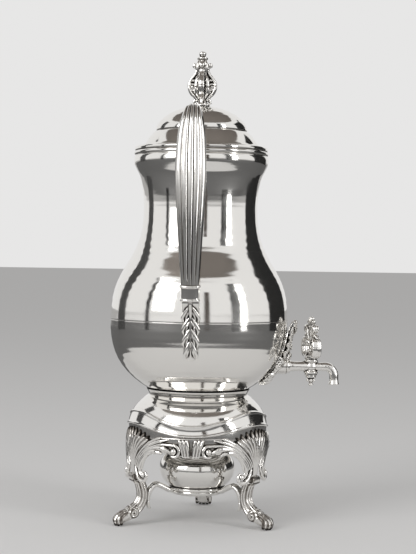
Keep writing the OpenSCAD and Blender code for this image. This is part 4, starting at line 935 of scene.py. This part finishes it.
def make_leg():
    """Fan of blades that narrows to a scrolled knee, a ribbed limb and a leafy, scrolled foot."""
    shapes, half = [], []
    for share, tip in BLADES:
        zs = [tip, tip - 3, tip - 6.5, tip - 10.5, *np.linspace(tip - 14, 58, 9), 54, 50, KNEE_Z + 1]
        wide = np.interp(zs, FAN_Z, FAN_HALF)
        r = np.clip(0.12 * wide, 0.75, 3.1)
        r[:4] *= (0.3, 0.62, 0.84, 0.96)
        out = 2.3 - r * 0.62
        out[:3] = (0.1, 0.35, 0.6)
        blade = tube(np.column_stack([share * wide, down_leg(zs), out]), r, squash=0.86)
        (half if share else shapes).append(blade)
        if 0 < share < 1:
            vein = np.column_stack([(share + 0.1) * wide, down_leg(zs), np.full(len(zs), 0.8)])
            half.append(tube(vein[3:], r[3:] * 0.6, squash=0.8))
    knee, end = float(down_leg(KNEE_Z)), LEG_LENGTH
    stops = [knee - 8, knee, knee + 8, knee + 18, knee + 28, end - 20, end - 10, end - 4, end - 1]
    limb, sides = [], 28
    across, out = [np.sign(q) * np.abs(q) ** 0.8 for q in (np.cos(circle(sides)), np.sin(circle(sides)))]
    for s in np.linspace(stops[0], stops[-1], 70):
        limb.append(np.stack([np.interp(s, stops, LIMB_W) * across, np.full(sides, s),
                              np.interp(s, stops, LIMB_T) * out], 1))
    shapes.append(loft(limb))
    knee_s, knee_out = knee - 0.5, 3.6
    curl = coil((0, 0), 1.6, 3.0, -430, 1.19, 0)
    for x, lift, r in ((0, 0.7, 1.35), (2.7, 0.35, 1.2), (4.9, -0.7, 1.1)):
        turns = np.column_stack([knee_s - curl[:, 1], knee_out - 0.2 + curl[:, 0]])
        over = np.insert(turns, 0, x * 0.85, axis=1)
        down = [(x * 0.92, knee + 5, 2.9 + lift), (x, knee + 12, 3.3 + lift), (x, knee + 20, 3.4 + lift),
                (x, knee + 30, 3.7 + lift), (x * 1.1, end - 20, 4.0 + lift), (x * 1.14, end - 13, 4.3 + lift)]
        rib = tube(np.concatenate([over, spline(down, 8)]), [r * 0.8, r, r, r, r * 1.1, r])
        (half if x else shapes).append(rib)
    half.append(ball((4.7, knee_s, knee_out), 2.9, (0.6, 1, 1)))
    shapes.append(tube([(-4.4, knee_s, knee_out), (4.4, knee_s, knee_out)], [3.1, 3.1], lift=(0, 1, 0)))
    for x, out in ((5.1, 0.2), (4.9, -2.5)):
        rail = [(x * 0.82, knee + 4, out), *[(x, knee + s, out) for s in (12, 20, 30)],
                (x + 0.8, end - 18, out), (x + 1.2, end - 12, out)]
        half.append(rod(rail, [0.9, 1.25, 1.3, 1.1]))
    scroll_s, scroll_out = end - 15, 0.4
    ring = coil((0, 0), 4.3, 1.7, 150, 1.4, 0, 50)
    scroll = np.column_stack([np.linspace(6.0, 6.8, 50), scroll_s + ring[:, 0], scroll_out + ring[:, 1]])
    half += [tube(scroll, [1.4, 1.3, 1.1], lift=(1, 0, 0)), ball((6.6, scroll_s, scroll_out), 1.7, sides=12)]
    for x, far, r in ((0, 1.4, 2.1), (3.4, 0.6, 2.0), (6.2, -1.2, 1.7)):
        toe = [(x * 0.8, end - 13.5, 4.0 - x * 0.1), (x * 0.94, end - 8, 4.6 - x * 0.2),
               (x, end - 3, 3.4 - x * 0.2), (x * 1.04, end + far, 0.2), (x * 1.02, end + far + 0.4, -3.4)]
        (half if x else shapes).append(rod(toe, [0.8, r * 0.85, r, r, r * 0.9]))
    for x, back, lift in ((1.7, 16.5, 5.0), (4.6, 14.5, 3.6)):
        half.append(rod([(x * 0.5, end - back - 3, lift - 0.6), (x, end - back + 1.5, lift + 0.3),
                         (x * 1.25, end - back + 4.5, lift - 0.5)], [0.8, 1.6, 0.9]))
    return cast("leg.cast", shapes + mirrored(half), 0.33, 1, on_leg)


def make_reeding():
    """Band with a bead along each edge, dipping at the aprons and rising and widening to the legs."""
    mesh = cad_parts["stand_reeding"].data
    co = np.array([v.co for v in mesh.vertices]) / MM
    turn = np.arctan2(co[:, 1], co[:, 0] - AXIS_X)
    folded = np.degrees(np.arccos(np.cos(3 * (turn - math.radians(FRONT)))))
    dip, peak = co[folded < 12, 2], co[folded > 168, 2]
    # Section as [proud of the shell, share of the band's height]: a bead, a hollow, a bead
    section = np.array([
        [0, 0], [0.6, -0.01], [1.3, 0.03], [1.6, 0.09], [1.35, 0.15], [0.75, 0.19], [0.5, 0.24], [0.46, 0.5],
        [0.5, 0.74], [0.75, 0.79], [1.25, 0.83], [1.5, 0.88], [1.2, 0.94], [0.5, 0.985], [0, 1], [0.02, 0.5]])
    rings = []
    for a in np.radians(np.arange(0, 360, 1.5)):
        lift = 0.5 - 0.5 * math.cos(3 * (a - math.radians(FRONT)))
        bottom = dip.min() + (peak.min() - dip.min()) * lift
        top = dip.max() + (peak.max() - dip.max()) * lift
        z = bottom + (top - bottom) * section[:, 1]
        rings.append(round_z(shell_r(z) + 0.05 + section[:, 0], a, z))
    return loft(rings, closed=True)


reeding = solid("stand_reeding.banded", round_urn(make_reeding()))
piece(reeding, "stand", SPUN, PLATE, "stand_reeding", crease=55)

set_round(make_apron(), FRONT, "stand", "apron", "pierced",
          (("front", 0), ("right", THIRD), ("left", -THIRD)))
set_round(make_leg(), REAR, "stand", "leg", "cast", (("rear", 0), ("left", THIRD), ("right", -THIRD)))


# ---- tap ----

ESCUTCHEON_LOW, ESCUTCHEON_HIGH = low("tap_escutcheon")[2] - TAP_Z, high("tap_escutcheon")[2] - TAP_Z


def on_belly(v):
    """Bends [across, up from the tap, out] over the belly on the tap's side."""
    z = TAP_Z + v[:, 1]
    lean = body_lean(z)
    r = body_r(z) + 0.15 + lean[:, 0] * v[:, 2]
    return round_z(r, v[:, 0] / body_r(z), z + lean[:, 1] * v[:, 2])


def make_escutcheon():
    """Cast leaf: lobes round the tap's boss, a tall leaf that curls off above, a short one below."""
    edge = spline([
        (1.2, ESCUTCHEON_LOW + 1), (4.4, -12.6), (8.2, -9), (12, -5), (15, 0), (15.6, 5), (14, 10),
        (12.4, 16), (11, 22), (8.6, 28), (6, 33), (3.6, 37.6), (1.0, ESCUTCHEON_HIGH - 0.8)], 5)
    shapes = [leaf_body(edge, 0.1 + 4.6 * np.clip((edge[:, 1] - 29) / 13, 0, 1) ** 1.6, 1.2, 2.2)]
    half = []
    for y0, tip, h0, h1, r in (
            (5.5, 13, 4.6, 6.6, 2.6), (12.5, 20.5, 3.4, 4.9, 2.4), (20, 28.5, 2.6, 3.6, 2.0),
            (27.5, 36, 3.4, 6.6, 2.1), (34, 41.4, 5.4, 7.6, 1.7)):
        crest = [(0, y0, h0), (0, (y0 + tip) / 2, (h0 + h1) / 2 + 0.7),
                 (0, tip - 0.8, h1), (0, tip, h1 - 1.4)]
        shapes.append(rod(crest, [r * 0.5, r * 0.8, r * 0.8, r * 0.45]))
        beside = [(x, y - 0.8, z - 0.5) for (_, y, z), x in zip(crest, (0.8, r, r * 0.95, r * 0.8))]
        half.append(rod(beside, [r * 0.4, r * 0.6, r * 0.55, r * 0.3]))
    for y0, reach, rise, r in (
            (7.5, 14, 6, 2.5), (13.5, 12.6, 7.5, 2.4), (20, 10.4, 7.5, 2.2), (26.5, 7.6, 6.5, 1.9),
            (32, 4.6, 5.4, 1.5)):
        lift = 0.06 * (y0 - 7.5) + 2.6 * max(y0 - 26, 0) / 6
        for back, near, far, size in ((0, 1.0, 1.0, 1.0), (-2.2, 0.98, 0.86, 0.75), (3.0, 0.8, 0.66, 0.7)):
            lobe = [(0.8, y0 + back, 2.4 + lift), (reach * 0.5 * near, y0 + back + rise * 0.5, 4.0 + lift),
                    (reach * 0.9 * far, y0 + back * 0.8 + rise * 0.9, 3.4 + lift),
                    (reach * 1.02 * far, y0 + back * 0.6 + rise + 1.6, 4.4 + lift)]
            half.append(rod(lobe, [0.9, r * 0.72 * size, r * 0.8 * size, r * 0.45 * size], squash=0.85))
    for angle, reach in ((6, 15.2), (34, 15.2), (-22, 15.2), (-48, 13.6)):
        for turn, size, short in ((0, 1.0, 0), (10, 0.62, 1), (-10, 0.62, 1)):
            at, near = math.radians(angle + turn), math.radians(angle + turn / 2)
            lobe = [spoke(7.6, near, 3.4), spoke(11.6, at, 3.8), spoke(reach - short, at, 2.2)]
            half.append(rod(lobe, [1.3 * size, 2.0 * size, 1.2 * size], squash=0.9))
    for x, y in ((3.2, -14.0), (6.0, -11.8)):
        half.append(rod([(x * 0.5, -7.4, 3.6), (x * 0.85, -10.6, 4.2), (x, y, 1.6)], [1.4, 2.0, 1.1]))
    shapes += mirrored(half)
    shapes.append(rod([(0, -7.4, 3.8), (0, -11, 4.8), (0, ESCUTCHEON_LOW + 0.9, 1.6)], [1.6, 2.3, 1.1]))
    roll = circle(12)
    collar = [round_z(8.9 + 1.5 * np.cos(roll), a, 3.8 + 2.0 * np.sin(roll)) for a in circle(40)]
    shapes.append(loft(collar, closed=True))
    return cast("tap_escutcheon.leaf", shapes, 0.33, 1, on_belly)


def at_valve(shapes, turn, z):
    """The shapes as one, turned about the valve's axis, with their origin at height z."""
    return moved(merge(shapes), (VALVE_X, 0, z), turn)


SHANK_R = 3.7
BARREL_HALF = 6.5           # half the barrel's height
SPOUT_BEND = 8              # radius of the spout's bend


def make_tap_body():
    """Inlet, moulded barrel and bent spout in one casting, with open ends to the waterway."""
    boss_x, start_x = high("tap_boss")[0], low("tap_body")[0]
    end_x = high("tap_body")[0] - 5
    bend_x = end_x - SPOUT_BEND
    a = circle(40)

    def across(x, r, centre_z=TAP_Z, tilt=0.0):
        """Ring of the pipe, tilted forward by an angle in radians."""
        return np.stack([x + r * np.sin(a) * math.sin(tilt), r * np.cos(a),
                         centre_z + r * np.sin(a) * math.cos(tilt)], 1)

    shank = spline([(start_x, SHANK_R), (boss_x - 1, SHANK_R)], 2)
    neck = spline([
        (boss_x + 0.1, 6.5), (boss_x + 1.2, 6.7), (boss_x + 2.4, 6.2), (boss_x + 3.4, 5.3),
        (boss_x + 5.5, 4.7), (boss_x + 9, 4.5), (VALVE_X - 8, 4.6), (VALVE_X - 4, 5.0)], 5)
    inlet = loft([across(x, r) for x, r in [*shank, (boss_x, SHANK_R), *neck, (VALVE_X, 4.8)]])
    rings = [across(VALVE_X, 4.4)]
    for x in np.linspace(VALVE_X + 3, bend_x, 8):
        rings.append(across(x, 4.2 - 0.4 * math.sin((x - VALVE_X) / (bend_x - VALVE_X) * np.pi)))
    for t in np.linspace(0, np.pi / 2, 14)[1:]:
        drop = SPOUT_BEND - SPOUT_BEND * math.cos(t)
        rings.append(across(bend_x + SPOUT_BEND * math.sin(t), 4.1, TAP_Z - drop, t))
    for down, r in ((10, 4.1), (12, 4.15), (13.4, 4.3), (14.8, 4.7), (15.5, 4.95), (16, 4.85), (16, 4.2),
                    (15.4, 2.6), (13, 1.9), (12, 1.9)):
        rings.append(across(end_x, r, TAP_Z - down, np.pi / 2))
    h = BARREL_HALF
    barrel = lathe([
        (0, -h), (5.6, -h), (6.25, -h + 0.5), (6.3, -h + 1.5), (5.7, -h + 2.1), (5.2, -h + 2.8),
        (5.15, -h + 4.2), (5.7, -h + 6.2), (5.3, h - 3.4), (5.5, h - 2.6), (6.2, h - 1.9), (6.3, h - 1.0),
        (5.9, h - 0.2), (5.2, h), (0, h)])
    return cast("tap_body.cast", [inlet, loft(rings), moved(barrel, (VALVE_X, 0, TAP_Z))], 0.3, 1)


def make_acorn():
    """Nut under the valve, with a ring of balls like berries and a small drop."""
    shapes = [lathe([
        (0, -10), (1.4, -9.9), (2.2, -9.0), (2.2, -7.9), (1.5, -7.0), (1.9, -6.2), (3.0, -5.4), (3.2, -4.0),
        (2.6, -3.0), (2.9, -2.6), (4.3, -2.3), (4.55, -1.4), (4.5, -0.3), (4.2, 0), (0, 0)], 48)]
    for k in range(6):
        shapes.append(ball(spoke(3.1, math.radians(60 * k + 30), -4.6), 1.55))
    return cast("tap_acorn.berried", [at_valve(shapes, 0, high("tap_acorn")[2])], 0.25, 1)


KEY_TURN = 20               # degrees, as in the CAD's closed tap


def make_key():
    """Openwork key: two ribbed C-scrolls that hang beside the barrel, two smaller ones, a lobed crest."""
    base = low("tap_key")[2] + 1.0
    tall = high("tap_key")[2] - base
    shapes = [lathe([
        (0, 0), (3.5, 0), (3.8, 0.7), (3.5, 1.5), (2.6, 2.3), (2.1, 3.6), (2.1, 5), (2.9, 6.2), (3.1, 7.0),
        (2.6, 7.8), (1.8, 8.8), (0, 9)], 40)]
    lobe = spline([
        (2.6, 4.6), (5.6, 2.2), (9.4, 1.0), (13.2, 2.2), (15.6, 6.2), (15.9, 11.2), (13.8, 15.9), (9.8, 17.9),
        (6.2, 16.4), (5.0, 12.8), (7.2, 10.4)], 10)
    swell = np.array([0.8, 1, 1.1, 1.25, 1.3, 1.25, 1.1, 1, 0.9, 0.8])
    half = []
    for w, r in ((-3.1, 0.95), (-1.6, 1.15), (0, 1.3), (1.6, 1.15), (3.1, 0.95)):
        half.append(tube(upright(lobe * (1 - 0.008 * abs(w), 1), w), r * swell))
    half.append(ball((8.4, 0, 12.4), 2.0, (1, 1.7, 1)))
    bud = [(9.6, 0, 19.6), (12.4, 0, 20.4), (15.2, 0, 18.4)]
    half.append(rod(bud, [0.9, 1.7, 1.0], squash=1.4, lift=(0, 1, 0)))
    crook = spline([
        (1.8, 17.2), (3.6, 20.6), (5.0, 24.4), (7.4, 27.8), (10.4, 28.2), (11.6, 25.8), (10.2, 23.6)], 8)
    for w in (-1.9, 0, 1.9):
        half.append(tube(upright(crook, w), [0.9, 1.3, 1.4, 1.3, 1.0]))
    half.append(ball((9.4, 0, 25.6), 1.8, (1, 1.6, 1)))
    for k, (x, z) in enumerate(((3.2, tall - 2.2), (6.0, tall - 4.6), (7.6, tall - 7.8))):
        lobe = [(0.8, 0, tall - 12 + k), (x * 0.6, 0, (z + tall - 11.5) / 2 + 0.8), (x, 0, z)]
        half.append(rod(lobe, [0.9, 1.4, 1.6], lift=(0, 1, 0), squash=1.3))
    stem = [(0, 0, z) for z in (8, 14, 22, 30, tall - 1.8)]
    shapes += mirrored(half) + [rod(stem, [1.8, 1.4, 1.6, 1.9, 1.7], lift=(0, 1, 0), squash=1.2)]
    return cast("tap_key.scrolled", [at_valve(shapes, 90 + KEY_TURN, base)], 0.28, 1)


escutcheon = make_escutcheon()
on_axis(escutcheon, 0)
for obj, body, node in ((escutcheon, "urn", "tap_escutcheon"), (make_tap_body(), "urn", "tap_body"),
                        (make_acorn(), "tap_key", "tap_acorn"), (make_key(), "tap_key", "tap_key")):
    piece(obj, body, CAST, PLATE, node, crease=0)


# ---- finial ----

def make_finial():
    """Four double C-scrolls round a fluted core, on a beaded foot and under a lobed cap and a small knob."""
    shapes = [lathe([
        (0, 0), (6.6, 0), (7, 0.6), (6.6, 1.4), (5.2, 2), (4.2, 3.4), (3.9, 6), (4.6, 9), (6.4, 14),
        (6.6, 19), (5.6, 25), (4, 29), (3.8, 32), (4.6, 35.6), (4.9, 38.5), (4, 41), (4, 42), (5, 43),
        (4.9, 44.2), (3.4, 45), (2.4, 45.5), (2.9, 46.2), (3.4, 47.5), (3, 49), (1.5, 49.85), (0, 49.9)], 56)]
    sweep = spline([
        (4.4, 5.2), (6.6, 8.4), (9.9, 11.6), (11.8, 16.0), (11.7, 20.6), (9.6, 25.0), (6.8, 28.6), (5.4, 32),
        (5.6, 35.6), (7.4, 38.2), (8.2, 36.4)], 8)
    inner = spline([(4.8, 9.4), (7.0, 12.4), (6.4, 15.4), (5.2, 19.4), (6.4, 23.2), (9.0, 23.0)], 8)
    eye = coil((8.7, 17.6), 3.3, 1.2, 240, 1.35, 0, 36)[:, :2]
    web = [np.array([(2, -1.0, z), (x, -1.0, z), (x, 1.0, z), (2, 1.0, z)]) for x, z in sweep[4:52]]
    arm = [loft(web), ball((8.7, 0, 17.6), 1.5, (1, 1.7, 1)), ball((7.2, 0, 36.8), 2.2, (1, 1.2, 1))]
    for w, r in ((-1.3, 1.2), (1.3, 1.2), (0, 1.45)):
        arm.append(tube(upright(sweep, w), [r, r * 1.15, r * 1.2, r * 1.1, r * 0.95, r, r * 0.8]))
    for w in (-1.2, 1.2):
        arm.append(tube(upright(eye, w), [1.1, 1.0, 0.9]))
        arm.append(tube(upright(inner, w * 1.1), [0.8, 1.1, 1.2, 1.1, 0.8]))
    between = [rod([(4.0, 0, 7), (6.6, 0, 12), (7.2, 0, 18), (6.2, 0, 24), (4.4, 0, 28.4)],
                   [0.9, 1.8, 2.1, 1.8, 0.9]),
               rod([(3.6, 0, 28), (4.9, 0, 32), (5.4, 0, 37), (4.4, 0, 41)], [1.0, 1.7, 1.8, 1.0])]
    root = rod([(5.4, 0, 8.2), (6.8, 0, 5.0), (7.6, 0, 2.6)], [1.3, 1.5, 1.2])
    for turn in (0, 90, 180, 270):
        shapes += [moved(merge(arm), turn=turn), moved(merge(between), turn=turn + 45)]
        shapes.append(moved(root, turn=turn))
    for k in range(12):
        shapes.append(ball(spoke(6.3, math.radians(30 * k), 1.7), 1.2, sides=12))
    foot = (0, 0, low("lid_finial")[2])
    return cast("lid_finial.cast", [round_urn(moved(merge(shapes), foot))], 0.3, 1)


piece(make_finial(), "lid", CAST, PLATE, "lid_finial", crease=0)


# ---- burner arms ----

def make_arm():
    """Strap of three reeds that springs from the ring and runs down the inside of a leg."""
    root = high("burner_ring")[0] - AXIS_X - 0.8
    end = high("burner_arm_rear")[1] - 2.1
    span = end - root
    z = low("burner_arm_rear")[2]
    line = spline([
        (root, z + 16.4), (root + 3.4, z + 17.0), (root + span * 0.34, z + 19.6),
        (root + span * 0.6, z + 22.2), (root + span * 0.8, z + 20.6), (end - 0.8, z + 14.8), (end, z + 8),
        (end - 0.9, z + 3), (end - 2.0, z + 1.2)], 8)
    shapes = []
    for w, r in ((0, 2.5), (2.6, 1.9), (-2.6, 1.9)):
        shapes.append(tube(upright(line, w), [r, r, r * 1.1, r * 1.1, r * 0.8, r * 0.5]))
    shapes.append(tube(upright(line), [3.6, 3.6, 3.6, 3.2, 1.8], squash=0.5, lift=(0, 0, 1)))
    return cast("burner_arm.cast", shapes, 0.35, 1)


set_round(make_arm(), REAR, "stand", "burner_arm", "cast", (("rear", 0), ("left", THIRD), ("right", -THIRD)))


# ---- finishes of the pieces that keep their CAD shape ----

def plain(name, dark, pale, roughness, metallic, scale, grain):
    """Patchy finish: two tones, uneven gloss and a fine grain."""
    material, tree, shader = nodes_of(name)
    patches = noise(tree, tree.nodes.new("ShaderNodeTexCoord").outputs["Object"], scale, 5, 0.6)
    feed(tree, shader.inputs["Base Color"], ramp(tree, patches, [(0.35, dark), (0.68, pale)]))
    gloss = ramp(tree, patches, [(0.3, grey(roughness)), (0.7, grey(roughness + 0.15))])
    feed(tree, shader.inputs["Roughness"], gloss)
    shader.inputs["Metallic"].default_value = metallic
    bump = add(tree, "ShaderNodeBump", Strength=grain, Distance=0.0003, Height=patches)
    feed(tree, shader.inputs["Normal"], bump.outputs["Normal"])
    return material


BRASS = plain("brass", (0.62, 0.44, 0.16), (0.80, 0.62, 0.30), 0.22, 1, 260, 0.15)
LEATHER = plain("leather_washer", (0.10, 0.055, 0.03), (0.20, 0.12, 0.07), 0.55, 0, 700, 0.5)
COTTON = plain("cotton_wick", (0.62, 0.58, 0.50), (0.80, 0.77, 0.70), 0.85, 0, 1500, 0.8)
for material, kept in (
        (SPUN, ("tap_boss", "tap_plug", "tap_washer", "handle_socket_front", "handle_socket_rear",
                "burner_wick_tube")),
        (BRASS, ("tap_saddle", "tap_nut", "lid_finial_nut")),
        (LEATHER, ("tap_seal",)),
        (COTTON, ("burner_wick",))):
    for node in kept:
        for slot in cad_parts[node].material_slots:
            slot.material = material
